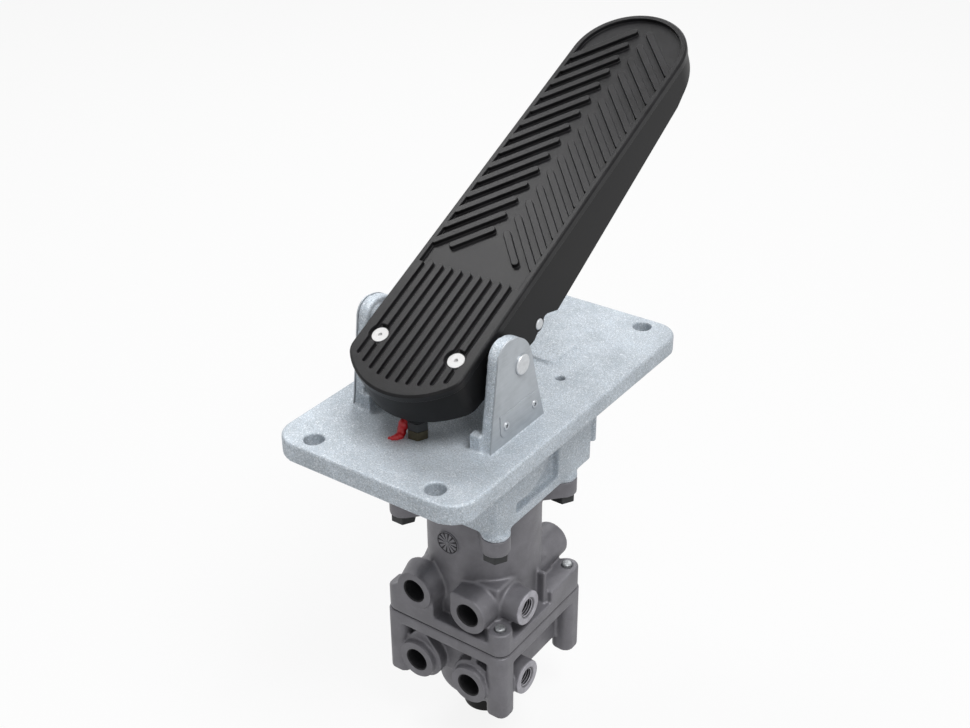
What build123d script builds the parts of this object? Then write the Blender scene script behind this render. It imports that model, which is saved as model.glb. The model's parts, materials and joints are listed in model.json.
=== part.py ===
"""Truck foot brake valve: treadle, floor mounting and two-circuit valve.

Frame: the origin is the centre of the floor plate's underside, +Z is up, +Y runs
from the heel towards the toe end of the treadle and +X is across the treadle.
All sizes are in millimetres.
"""
import math
import os

from build123d import *

os.makedirs("parts", exist_ok=True)

# Clearances
RUNNING = 0.05
SNUG = 0.02
GAP = 0.3

# Floor plate
PLATE_X = 156.0
PLATE_Y = 287.0
PLATE_T = 14.5
PLATE_CORNER = 20.0
FLOOR_PITCH_X = 100.0
FLOOR_PITCH_Y = 260.0
FLOOR_HOLE_D = 14.0
SIDE_TAPPING_X = 40.5
SIDE_TAPPING_Y = 29.0
SIDE_TAPPING_D = 7.0

# Neck under the plate
VALVE_Y = -8.0
NECK_HALF_X = 48.0
NECK_FRONT = -60.0
NECK_REAR = 66.0
NECK_DEPTH = 70.0
NECK_CORNER = 5.0
NECK_BORE_R = 33.0
NECK_ROOF = 12.0
REAR_POCKET_Y = 16.0
REAR_POCKET_WALL = 6.0
REAR_RIM_T = 3.5
REAR_GROOVE = 2.0
POCKET_FRONT = -36.0
POCKET_REAR = 18.5
POCKET_LEG = 14.5
POCKET_BOTTOM = -62.0
POCKET_TOP = -20.0
POCKET_BAND = 9.0
POCKET_BEND = 21.0
POCKET_BEND_X = 13.0
POCKET_BEND_Z = 2.5
POCKET_DEPTH = 7.0
RAISED_PAD_Y = 58.0
RAISED_PAD_L = 34.0
RAISED_PAD_W = 54.0
RAISED_PAD_H = 2.0
RAISED_PAD_CORNER = 4.0

# Joint between the neck and the valve
LUG_RING_T = 3.0
FLANGE_T = 13.0
BOLT_X = 41.0
BOLT_Y = 44.0
LUG_R = 10.5
BOLT_R = 5.0
BOLT_HEAD_AF = 17.0
BOLT_HEAD_H = 6.4
BOLT_GRIP = 18.0

# Ears
EAR_IN = 48.5
EAR_T = 8.0
COVER_T = 1.0
EAR_INNER_RIB_T = 1.8
EAR_FRONT_Y = -81.5
EAR_REAR_Y = -18.0
FOOT_X = 41.5
FOOT_H = 12.0
FOOT_Y = 7.0
RIVET_R = 1.6
RIVET_DEPTH = 4.0
RIVET_HEAD_R = 2.9
RIVET_HEAD_T = 0.9
RIVET_EYE_R = 1.3
RIVET_FRONT = 17.1
RIVET_REAR = 13.2
RIVET_LIFT = 14.75
EMBOSS_T = 0.5
EMBOSS_FRONT = 10.5
EMBOSS_REAR = 9.0
EMBOSS_LOW = 6.5
EMBOSS_HIGH = 24.4

# Treadle pivot
PIVOT_Y = -46.0
PIVOT_Z = 66.3
PIN_R = 6.0
PIN_HEAD_R = 7.2
PIN_HEAD_T = 1.8
CLIP_R = 8.5
CLIP_T = 1.2
PIN_END = 3.5

# Treadle, in its own frame on the pivot
PEDAL_ANGLE = 26.2
TREAD_TOP = 26.4
HALF_WIDTH = 44.7
TIP_REACH = 304.0
HEEL_REACH = 66.5
HEEL_R = 54.0
HEEL_CORNER_R = 14.0
PAD_T = 6.0
PAD_EDGE_R = 1.2
TREAD_DEPTH = 3.0
RIM_W = 4.6
WALL = 4.0
DECK_T = 4.5
SKIRT_HEEL = 28.0
SKIRT_KNEE = 45.0
SKIRT_KNEE_S = 31.5
SKIRT_STEP = 38.7
SKIRT_MID = 47.9
SKIRT_TIP = 30.0
SKIRT_END = 17.0
STEP_BACK = 47.5
STEP_FRONT = 61.0
PIN_BOSS_R = 6.0
PIN_BOSS_L = 8.0
SKIRT_TIP_BACK = 57.0
SKIRT_BEND_BACK = 23.0
BODY_INSET = 0.6
RIB_T = 3.5
RIB_RISE = 2.0
RIB_NEAR = [-18.0, 20.0]
RIB_FIRST = 62.0
RIB_TIP_BACK = 46.0
RIB_COUNT = 6

# Tread pattern
GROOVE_COUNT = 10
GROOVE_PITCH = 7.8
GROOVE_W = 3.0
GROOVE_TOP = 36.4
GROOVE_MARGIN = 10.0
GROOVE_ARC_R = 62.0
BAR_COUNT = 15
BAR_PITCH = 14.8
BAR_TIP_BACK = 17.0
BAR_RUN = 36.5
BAR_DROP = 39.0
BAR_W = 5.0
SPINE_HALF = 3.6
SHORT_BAR = 0.6
PAD_SCREW_X = 30.7
PAD_SCREW_S = -26.6
PAD_SCREW_R = 5.8
PAD_SCREW_T = 1.0
PAD_SCREW_SEAT_R = 7.4
PAD_SHANK_R = 2.5
PAD_SOCKET_R = 1.4
PAD_SOCKET_H = 2.0

# Roller under the treadle
ROLLER_S = 39.9
ROLLER_N = -11.7
ROLLER_R = 13.0
ROLLER_W = 16.0
ROLLER_PIN_R = 4.0
ROLLER_CHEEK_T = 4.0
ROLLER_SIDE_GAP = 0.4
BUSH_R = 8.5
BUSH_L = 14.0
BUSH_COLLAR_T = 1.8
ROLLER_PIN_END = 0.8
PIVOT_TUBE_R = 12.0

# Stop screw under the heel
STOP_X = 4.0
STOP_Y = -88.0
STOP_R = 4.0
STOP_AF = 13.0
STOP_NUT_H = 6.5
STOP_HEAD_H = 6.0
STOP_DEPTH = 12.0
BUFFER_R = 8.0
BUFFER_SEAT_Z = 45.0
BUFFER_STEM_R = 3.5
BUFFER_STEM_L = 8.0
BUFFER_BOSS_WALL = 2.0
STOP_TURN = 5.0

# Tappet
TAPPET_HEAD_R = 18.0
TAPPET_HEAD_T = 6.0
TAPPET_ROD_R = 10.0
TAPPET_FOOT_R = 24.0
TAPPET_FOOT_T = 6.0
TOWER_R = 21.0
TOWER_H = 10.0
GUIDE_WALL = 3.0
BOOT_R = 17.5
BOOT_WALL = 1.6
BOOT_FOLDS = 4
BOOT_DEPTH = 4.0

# Valve body
VALVE_BARREL_R = 43.0
SHOULDER_Z = -131.0
ROOF_SLOPE = 60.0
BLOCK_HALF = 38.0
BLOCK_CORNER = 5.0
PARTING_Z = -175.0
GASKET_T = 0.8
BAND_HALF = 54.5
BAND_T = 10.0
POST_R = 9.0
POST_CORNER = 6.5
POST_TOP_Z = -155.0
POST_FOOT_Z = -234.0
SCREW_R = 4.0
SCREW_HOLE_R = 4.4
SCREW_HEAD_R = 6.5
SCREW_HEAD_H = 2.5
SCREW_TIP = 2.0
PORT_X = 24.4
PORT_FACE_Y = -65.0
PORT_UPPER_Z = -145.0
PORT_LOWER_Z = -212.0
PORT_R = 9.0
PORT_MOUTH = 1.0
PORT_DEPTH = 18.0
PORT_BOSS_R = 15.5
BOSS_ROOT_R = 18.5
BOSS_ROOT_Y = -59.0
BOSS_FLARE_R = 20.0
BOSS_FLARE_Y = -48.0
HOOD_TOP_Z = -184.0
SHOULDER_TOP_Z = -150.0
SHOULDER_DEPTH = 17.5
ROOT_IN_X = 9.0
ROOT_OUT_X = 40.0
ROOT_FRONT_Y = -47.5
ROOT_TOP_Z = -127.5
ROOT_EDGE_R = 3.0
BOSS_CORNER_R = 3.0
LEDGE_FRONT_Y = 2.0
LEDGE_IN_X = 30.0
LEDGE_RIB_T = 3.5
LEDGE_RIB_X = 50.0
LEDGE_RIB_TOP_Z = -137.0
SIDE_PORT_Y = -32.5
SIDE_PORT_FACE_X = 56.0
SIDE_PORT_R = 7.25
SIDE_PORT_MOUTH = 0.95
SIDE_PORT_DEPTH = 14.0
SIDE_BOSS_R = 13.5
REAR_BOSS_R = 14.5
REAR_BOSS_Y = 49.0
LOWER_BLOCK_HALF = 42.0
LOWER_BLOCK_Z = -222.0
LOWER_BARREL_R = 36.5
LOWER_BOTTOM_Z = -253.0
LOWER_EDGE_R = 9.0
BOSS_WEB_T = 5.0
DIAL_X = -1.5
DIAL_R = 9.5
DIAL_Z = -98.5
DIAL_RISE = 0.8
DIAL_MARKS = 12
DIAL_LINE_W = 0.7
DIAL_CUT = 0.6

# Inside of the valve
PISTON_BORE_R = 31.0
SEAL_R = 1.5
WEB_LIFT = 4.0
WEB_T = 6.0
SEAT_R = 12.0
VALVE_BORE_R = 25.0
PASSAGE_R = 2.5
PASSAGE_IN = 5.0
PASSAGE_DROP = 4.0
SPRING_BLOCK_T = 20.0
SPRING_BLOCK_R = 20.0
PISTON_T = 18.0
RELAY_T = 12.0
RELAY_DROP = 1.2
STEM_R = 8.0
STEM_BORE_R = 4.0
STEM_LIFT = 2.0
VALVE_DISC_R = 15.0
VALVE_DISC_T = 4.0
VALVE_SLEEVE_R = 8.0
VALVE_LIP = 0.2
RETAINER_T = 4.0
RETAINER_DROP = 23.0
SLEEVE_END = 2.0
GUIDE_TUBE_H = 10.0
GUIDE_TUBE_R = 10.5
WIRE_R = 1.3
RETURN_COIL_R = 24.0
VALVE_COIL_R = 13.0
COIL_TURNS = 4
RING_T = 1.2
RING_DEPTH = 1.5
RING_W = 4.0
EXHAUST_R = 17.5
EXHAUST_BOTTOM_Z = -280.0
EXHAUST_WALL = 3.0
EXHAUST_PLUG_T = 5.0
EXHAUST_HOLES = 6
EXHAUST_HOLE_R = 3.0

# Derived places
VALVE_TOP_Z = -(NECK_DEPTH + LUG_RING_T)
FLANGE_BOTTOM_Z = VALVE_TOP_Z - FLANGE_T
EAR_OUT = EAR_IN + EAR_T
COVER_OUT = EAR_OUT + COVER_T
PITCH = math.radians(PEDAL_ANGLE)
ROLLER_Z = PIVOT_Z + ROLLER_S * math.sin(PITCH) + ROLLER_N * math.cos(PITCH)
TAPPET_TOP_Z = ROLLER_Z - ROLLER_R - GAP
TAPPET_FOOT_Z = VALVE_TOP_Z - 2.0
BLOCK_TOP_Z = TAPPET_FOOT_Z
PISTON_TOP_Z = BLOCK_TOP_Z - SPRING_BLOCK_T
BODY_TOP = TREAD_TOP - PAD_T
BODY_HALF = HALF_WIDTH - BODY_INSET
SKIRT_TIP_S = TIP_REACH - SKIRT_TIP_BACK
RIB_PITCH = (TIP_REACH - RIB_TIP_BACK - RIB_FIRST) / (RIB_COUNT - 1)
RIB_SPOTS = RIB_NEAR + [RIB_FIRST + rib * RIB_PITCH for rib in range(RIB_COUNT)]
RIVET_SPOTS = [(EAR_FRONT_Y + RIVET_FRONT, PLATE_T + RIVET_LIFT), (EAR_REAR_Y - RIVET_REAR, PLATE_T + RIVET_LIFT)]
POST_OFFSET = BAND_HALF - POST_R
BAND_FRONT_Y = VALVE_Y - BAND_HALF
STOP_HEAD_Z = PLATE_T + STOP_NUT_H + 0.2
TOWER_TOP_Z = PLATE_T + TOWER_H
TAPPET_HEAD_Z = TAPPET_TOP_Z - TAPPET_HEAD_T
LOWER_TOP_Z = PARTING_Z - GASKET_T
UPPER_WEB_TOP = PORT_UPPER_Z + WEB_LIFT
LOWER_WEB_TOP = PORT_LOWER_Z + WEB_LIFT
RELAY_TOP_Z = LOWER_TOP_Z - RELAY_DROP
RING_TOP_Z = LOWER_WEB_TOP - WEB_T - RETAINER_DROP - RETAINER_T

VALVE_AXIS = Plane(origin=(0, VALVE_Y, 0))
PEDAL = Plane(
    origin=(0, PIVOT_Y, PIVOT_Z),
    x_dir=(1, 0, 0),
    z_dir=(0, -math.sin(PITCH), math.cos(PITCH)),
)
PEDAL_SIDE = Plane(
    origin=(0, PIVOT_Y, PIVOT_Z),
    x_dir=(0, math.cos(PITCH), math.sin(PITCH)),
    z_dir=(1, 0, 0),
)
PEDAL_UP = Axis(PEDAL.origin, PEDAL.z_dir)
VALVE_SECTION = Plane(origin=(0, VALVE_Y, 0), x_dir=(1, 0, 0), z_dir=(0, -1, 0))
VALVE_LINE = Axis((0, VALVE_Y, 0), (0, 0, 1))


def save(part, name):
    """Label one finished piece and write its file."""
    part.label = name
    export_step(part, f"parts/{name}.step")


def side_plane(x):
    """A plane facing +X whose first axis is +Y and second axis is +Z."""
    return Plane(origin=(x, 0, 0), x_dir=(0, 1, 0), z_dir=(1, 0, 0))


def front_plane(y):
    """A plane facing -Y whose first axis is +X and second axis is +Z."""
    return Plane(origin=(0, y, 0), x_dir=(1, 0, 0), z_dir=(0, -1, 0))


def valve_plane(z):
    """A level plane centred on the valve's axis."""
    return VALVE_AXIS.offset(z)


# Floor plate, neck and ears, one casting
EAR_OUTLINE = dict(
    front_foot=(EAR_FRONT_Y, PLATE_T - 1),
    front_top=(EAR_FRONT_Y + 9.0, PIVOT_Z + 11.0),
    crown=(EAR_FRONT_Y + 24.0, PIVOT_Z + 22.5),
    shoulder=(EAR_REAR_Y - 17.0, PIVOT_Z + 5.0),
    rear_foot=(EAR_REAR_Y, PLATE_T - 1),
)


def ear_profile():
    """The ear's side view: a leaning front, a broad crown and a sloping back."""
    o = EAR_OUTLINE
    with BuildSketch() as profile:
        with BuildLine():
            Polyline(o["shoulder"], o["rear_foot"], o["front_foot"], o["front_top"])
            ThreePointArc(o["front_top"], (EAR_FRONT_Y + 13.5, PIVOT_Z + 20.3), o["crown"])
            ThreePointArc(o["crown"], (EAR_REAR_Y - 24.5, PIVOT_Z + 16.5), o["shoulder"])
        make_face()
    return profile.sketch


def corner_arms(reach_x, reach_y, arm_r, middle_r):
    """Two crossed arms with round ends, joined by a round middle."""
    reach = math.hypot(reach_x, reach_y)
    lean = math.degrees(math.atan2(reach_y, reach_x))
    with BuildSketch() as outline:
        Circle(middle_r)
        for turn in (-lean, lean):
            SlotCenterToCenter(2 * reach, 2 * arm_r, rotation=turn)
    return outline.sketch


def section(*points):
    """A closed outline through radius and height pairs, for turned pieces."""
    with BuildSketch() as outline:
        with BuildLine():
            Polyline(*points, close=True)
        make_face()
    return outline.sketch


with BuildPart() as mounting:
    with BuildSketch():
        RectangleRounded(PLATE_X, PLATE_Y, PLATE_CORNER)
    extrude(amount=PLATE_T)
    chamfer(mounting.faces().sort_by(Axis.Z)[-1].edges(), length=0.8)
    with BuildSketch():
        with Locations((0, (NECK_FRONT + NECK_REAR) / 2)):
            RectangleRounded(2 * NECK_HALF_X, NECK_REAR - NECK_FRONT, NECK_CORNER)
    extrude(amount=-NECK_DEPTH)
    # Lug ring that the valve is bolted to
    with BuildSketch(valve_plane(VALVE_TOP_Z)):
        add(corner_arms(BOLT_X, BOLT_Y, LUG_R, VALVE_BARREL_R))
    extrude(amount=LUG_RING_T)
    # Rim behind a groove at the rear of the neck
    with BuildSketch():
        with Locations((0, NECK_REAR + REAR_GROOVE / 2)):
            Rectangle(2 * NECK_HALF_X - 6, REAR_GROOVE + 1)
    extrude(amount=-(NECK_DEPTH - 14))
    with BuildSketch():
        with Locations((0, NECK_REAR + REAR_GROOVE + REAR_RIM_T / 2)):
            Rectangle(2 * NECK_HALF_X, REAR_RIM_T)
    extrude(amount=-(NECK_DEPTH - 12))
    # Ears with an inner rib and a cast foot
    for side in (-1, 1):
        with BuildSketch(side_plane(side * (EAR_IN + EAR_T / 2))):
            add(ear_profile())
        extrude(amount=EAR_T / 2, both=True)
        with BuildSketch(side_plane(side * (EAR_IN - EAR_INNER_RIB_T / 2))):
            add(ear_profile())
            offset(amount=-5.0, mode=Mode.REPLACE)
            with Locations((EAR_FRONT_Y + 26, PLATE_T + 5)):
                Rectangle(34, 14)
        extrude(amount=EAR_INNER_RIB_T / 2, both=True)
        with BuildSketch(Plane.XY.offset(PLATE_T - 1)):
            with Locations((side * (FOOT_X + EAR_IN + 1) / 2, EAR_FRONT_Y + FOOT_Y / 2 - 1)):
                Rectangle(EAR_IN + 1 - FOOT_X, FOOT_Y)
        extrude(amount=FOOT_H + 1)
    # Guide tower for the tappet, on the plate's top
    with BuildSketch(valve_plane(PLATE_T - 1)):
        Circle(TOWER_R)
    extrude(amount=TOWER_H + 1)
    # Raised cast pad in front of the tower
    with BuildSketch(Plane.XY.offset(PLATE_T)):
        with Locations((0, RAISED_PAD_Y)):
            RectangleRounded(RAISED_PAD_W, RAISED_PAD_L, RAISED_PAD_CORNER)
    extrude(amount=RAISED_PAD_H, taper=10)
    # Neck bore, guide bore and rear pocket
    with BuildSketch(valve_plane(VALVE_TOP_Z)):
        Circle(NECK_BORE_R)
    extrude(amount=-VALVE_TOP_Z - NECK_ROOF, mode=Mode.SUBTRACT)
    with BuildSketch(valve_plane(-NECK_ROOF - 1)):
        Circle(TAPPET_ROD_R + GUIDE_WALL)
    extrude(amount=NECK_ROOF + PLATE_T + TOWER_H + 2, mode=Mode.SUBTRACT)
    with BuildSketch(Plane.XY.offset(-NECK_DEPTH)):
        with Locations((0, NECK_REAR - REAR_POCKET_WALL - REAR_POCKET_Y / 2)):
            RectangleRounded(2 * (NECK_HALF_X - REAR_POCKET_WALL), REAR_POCKET_Y, 4)
    extrude(amount=NECK_DEPTH - NECK_ROOF, mode=Mode.SUBTRACT)
    # Bent pocket with a round inner corner in both side faces of the neck
    for side in (-1, 1):
        with BuildSketch(side_plane(side * NECK_HALF_X)):
            with BuildLine():
                Polyline(
                    (POCKET_REAR - POCKET_LEG, POCKET_BOTTOM + POCKET_BEND),
                    (POCKET_REAR - POCKET_LEG, POCKET_TOP),
                    (POCKET_REAR, POCKET_TOP),
                    (POCKET_REAR, POCKET_BOTTOM),
                    (POCKET_FRONT, POCKET_BOTTOM),
                    (POCKET_FRONT, POCKET_BOTTOM + POCKET_BAND),
                )
                ThreePointArc(
                    (POCKET_FRONT, POCKET_BOTTOM + POCKET_BAND),
                    (POCKET_REAR - POCKET_LEG - POCKET_BEND_X, POCKET_BOTTOM + POCKET_BAND + POCKET_BEND_Z),
                    (POCKET_REAR - POCKET_LEG, POCKET_BOTTOM + POCKET_BEND),
                )
            make_face()
        extrude(amount=-side * POCKET_DEPTH, mode=Mode.SUBTRACT)
    # Floor holes, stop screw thread, small tapped holes and pin bore
    with Locations((0, 0, PLATE_T)):
        with GridLocations(FLOOR_PITCH_X, FLOOR_PITCH_Y, 2, 2):
            Hole(FLOOR_HOLE_D / 2, depth=PLATE_T)
    with Locations((STOP_X, STOP_Y, PLATE_T)):
        Hole(STOP_R + SNUG, depth=PLATE_T)
    with Locations((-SIDE_TAPPING_X, SIDE_TAPPING_Y, PLATE_T), (SIDE_TAPPING_X, SIDE_TAPPING_Y, PLATE_T)):
        Hole(SIDE_TAPPING_D / 2, depth=PLATE_T - 3)
    with BuildSketch(side_plane(-EAR_OUT - 5)):
        with Locations((PIVOT_Y, PIVOT_Z)):
            Circle(PIN_R + SNUG)
    extrude(amount=2 * EAR_OUT + 10, mode=Mode.SUBTRACT)
    with BuildSketch(valve_plane(VALVE_TOP_Z)):
        with GridLocations(2 * BOLT_X, 2 * BOLT_Y, 2, 2):
            Circle(BOLT_R + SNUG)
    extrude(amount=BOLT_GRIP + 4, mode=Mode.SUBTRACT)
    for side in (-1, 1):
        with BuildSketch(side_plane(side * EAR_OUT)):
            # Blind holes for the cover's rivets
            with Locations(*RIVET_SPOTS):
                Circle(RIVET_R + SNUG)
        extrude(amount=-side * RIVET_DEPTH, mode=Mode.SUBTRACT)
save(mounting.part, "mounting_casting")

# Thin cover plates riveted to the ears, with a raised panel around the rivets
for side, name in ((-1, "left_ear_cover"), (1, "right_ear_cover")):
    with BuildPart() as cover:
        with BuildSketch(side_plane(side * EAR_OUT)):
            add(ear_profile())
            with Locations(((EAR_FRONT_Y + EAR_REAR_Y) / 2, PLATE_T - 5)):
                Rectangle(EAR_REAR_Y - EAR_FRONT_Y + 10, 10, mode=Mode.SUBTRACT)
        extrude(amount=side * COVER_T)
        with BuildSketch(side_plane(side * COVER_OUT)) as panel:
            with BuildLine():
                Polyline(
                    (EAR_REAR_Y - EMBOSS_REAR, PLATE_T + EMBOSS_LOW),
                    (EAR_REAR_Y - EMBOSS_REAR - 2, PLATE_T + EMBOSS_HIGH),
                    (EAR_FRONT_Y + EMBOSS_FRONT, PLATE_T + EMBOSS_HIGH),
                    (EAR_FRONT_Y + EMBOSS_FRONT + 1, PLATE_T + EMBOSS_LOW),
                    close=True,
                )
            make_face()
            fillet(panel.vertices().sort_by(Axis.Y)[:2], radius=6.0)
        extrude(amount=side * EMBOSS_T)
        with BuildSketch(side_plane(side * EAR_OUT)):
            with Locations(*RIVET_SPOTS):
                Circle(RIVET_R + SNUG)
            with Locations((PIVOT_Y, PIVOT_Z)):
                Circle(PIN_R + SNUG)
        extrude(amount=side * (COVER_T + EMBOSS_T), mode=Mode.SUBTRACT)
    save(cover.part, name)

with BuildPart() as rivets:
    for side in (-1, 1):
        with BuildSketch(side_plane(side * (COVER_OUT + EMBOSS_T))):
            with Locations(*RIVET_SPOTS):
                Circle(RIVET_HEAD_R)
        extrude(amount=side * RIVET_HEAD_T, taper=15)
        with BuildSketch(side_plane(side * (COVER_OUT + EMBOSS_T))):
            with Locations(*RIVET_SPOTS):
                Circle(RIVET_R)
        extrude(amount=-side * (COVER_T + EMBOSS_T + RIVET_DEPTH - 0.5))
        with BuildSketch(side_plane(side * (COVER_OUT + EMBOSS_T + RIVET_HEAD_T))):
            with Locations(*RIVET_SPOTS):
                Circle(RIVET_EYE_R)
        extrude(amount=-side * 2.5, mode=Mode.SUBTRACT)
save(rivets.part, "ear_rivets")

# Pivot pin with a low head on the right and a push-on clip on the left
with BuildPart() as pivot_pin:
    with BuildSketch(side_plane(-COVER_OUT - PIN_END)):
        with Locations((PIVOT_Y, PIVOT_Z)):
            Circle(PIN_R)
    extrude(amount=2 * COVER_OUT + PIN_END)
    chamfer(pivot_pin.faces().sort_by(Axis.X)[0].edges(), length=0.8)
    with BuildSketch(side_plane(COVER_OUT)):
        with Locations((PIVOT_Y, PIVOT_Z)):
            Circle(PIN_HEAD_R)
    extrude(amount=PIN_HEAD_T)
    fillet(pivot_pin.faces().sort_by(Axis.X)[-1].edges(), radius=PIN_HEAD_T * 0.6)
save(pivot_pin.part, "pivot_pin")

with BuildPart() as pin_clip:
    with BuildSketch(side_plane(-COVER_OUT)):
        with Locations((PIVOT_Y, PIVOT_Z)):
            Circle(CLIP_R)
            Circle(PIN_R + SNUG, mode=Mode.SUBTRACT)
    extrude(amount=-CLIP_T)
save(pin_clip.part, "pin_clip")


def tread_outline(inset=0.0):
    """The treadle seen from above: straight sides, round tip, broad round heel."""
    half = HALF_WIDTH - inset
    tip_centre = TIP_REACH - HALF_WIDTH
    heel_centre = HEEL_R - HEEL_REACH
    heel_r = HEEL_R - inset
    corner = heel_centre - math.sqrt(heel_r ** 2 - half ** 2)
    with BuildSketch() as outline:
        with BuildLine():
            Line((-half, corner), (-half, tip_centre))
            ThreePointArc((-half, tip_centre), (0, tip_centre + half), (half, tip_centre))
            Line((half, tip_centre), (half, corner))
            ThreePointArc((half, corner), (0, heel_centre - heel_r), (-half, corner))
        make_face()
        fillet(outline.vertices().group_by(Axis.Y)[0], radius=HEEL_CORNER_R - inset)
    return outline.sketch


def skirt_profile(rise=0.0):
    """Side view of the treadle's body; rise lifts the lower edge."""
    low = rise + TREAD_TOP
    with BuildSketch() as profile:
        with BuildLine():
            Polyline(
                (-HEEL_REACH - 5, BODY_TOP),
                (-HEEL_REACH - 5, low - SKIRT_HEEL + 0.8),
                (SKIRT_KNEE_S, low - SKIRT_KNEE),
                (STEP_BACK, low - SKIRT_STEP),
                (STEP_FRONT - 10, low - SKIRT_STEP - 1.2),
                (STEP_FRONT, low - SKIRT_MID),
                (SKIRT_TIP_S, low - SKIRT_TIP),
            )
            ThreePointArc(
                (SKIRT_TIP_S, low - SKIRT_TIP),
                (TIP_REACH - SKIRT_BEND_BACK, low - SKIRT_END - 3.0),
                (TIP_REACH + 5, low - SKIRT_END + 2.0),
            )
            Polyline(
                (TIP_REACH + 5, low - SKIRT_END + 2.0),
                (TIP_REACH + 5, BODY_TOP),
                (-HEEL_REACH - 5, BODY_TOP),
            )
        make_face()
    return profile.sketch


# Rubber tread pad with heel grooves and chevron bars
with BuildPart() as pad:
    with BuildSketch(PEDAL.offset(BODY_TOP)):
        add(tread_outline())
    extrude(amount=PAD_T)
    chamfer(pad.faces().sort_by(PEDAL_UP)[-1].edges(), length=PAD_EDGE_R)
    with BuildSketch(PEDAL.offset(TREAD_TOP - TREAD_DEPTH)):
        add(tread_outline(RIM_W))
        with Locations((0, (GROOVE_TOP - HEEL_REACH) / 2)):
            Rectangle(2 * HALF_WIDTH, GROOVE_TOP + HEEL_REACH, mode=Mode.SUBTRACT)
        # Chevron bars stay standing in the recess
        for row in range(BAR_COUNT):
            run = BAR_RUN
            if row == BAR_COUNT - 1:
                run = BAR_RUN * SHORT_BAR
            drop = BAR_DROP * run / BAR_RUN
            start = TIP_REACH - BAR_TIP_BACK - row * BAR_PITCH
            for side in (-1, 1):
                inner = Vector(side * (SPINE_HALF + BAR_W / 2), start - BAR_W / 2)
                outer = Vector(side * (SPINE_HALF + run), start - drop)
                middle = (inner + outer) * 0.5
                lean = math.degrees(math.atan2(outer.Y - inner.Y, outer.X - inner.X))
                with Locations((middle.X, middle.Y)):
                    SlotOverall((outer - inner).length + BAR_W, BAR_W, rotation=lean, mode=Mode.SUBTRACT)
        # Rounded upper ends of the heel ribs
        for rib in range(GROOVE_COUNT - 1):
            with Locations(((rib - (GROOVE_COUNT - 2) / 2) * GROOVE_PITCH, GROOVE_TOP)):
                Circle((GROOVE_PITCH - GROOVE_W) / 2, mode=Mode.SUBTRACT)
    extrude(amount=TREAD_DEPTH + 1, mode=Mode.SUBTRACT)
    with BuildSketch(PEDAL.offset(TREAD_TOP - TREAD_DEPTH)):
        for groove in range(GROOVE_COUNT):
            x = (groove - (GROOVE_COUNT - 1) / 2) * GROOVE_PITCH
            foot = GROOVE_ARC_R - HEEL_REACH + GROOVE_MARGIN - math.sqrt(GROOVE_ARC_R ** 2 - x ** 2)
            with Locations((x, (foot + GROOVE_TOP) / 2 + 1)):
                SlotOverall(GROOVE_TOP - foot + 2, GROOVE_W, rotation=90)
        with Locations((-PAD_SCREW_X, PAD_SCREW_S), (PAD_SCREW_X, PAD_SCREW_S)):
            Circle(PAD_SCREW_SEAT_R)
    extrude(amount=TREAD_DEPTH + 1, mode=Mode.SUBTRACT)
    with BuildSketch(PEDAL.offset(BODY_TOP - 1)):
        with Locations((-PAD_SCREW_X, PAD_SCREW_S), (PAD_SCREW_X, PAD_SCREW_S)):
            Circle(PAD_SHANK_R + SNUG)
    extrude(amount=PAD_T + 2, mode=Mode.SUBTRACT)
save(pad.part, "tread_pad")

# Two flat-headed screws hold the pad to the treadle
with BuildPart() as pad_screws:
    seat = PEDAL.offset(TREAD_TOP - TREAD_DEPTH)
    spots = [(-PAD_SCREW_X, PAD_SCREW_S), (PAD_SCREW_X, PAD_SCREW_S)]
    with BuildSketch(seat):
        with Locations(*spots):
            Circle(PAD_SCREW_R)
    extrude(amount=PAD_SCREW_T)
    with BuildSketch(seat):
        with Locations(*spots):
            Circle(PAD_SHANK_R)
    extrude(amount=-(PAD_T - TREAD_DEPTH + DECK_T))
    with BuildSketch(seat.offset(PAD_SCREW_T)):
        with Locations(*spots):
            Circle(PAD_SOCKET_R)
    extrude(amount=-PAD_SOCKET_H, mode=Mode.SUBTRACT)
save(pad_screws.part, "pad_screws")

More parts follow.
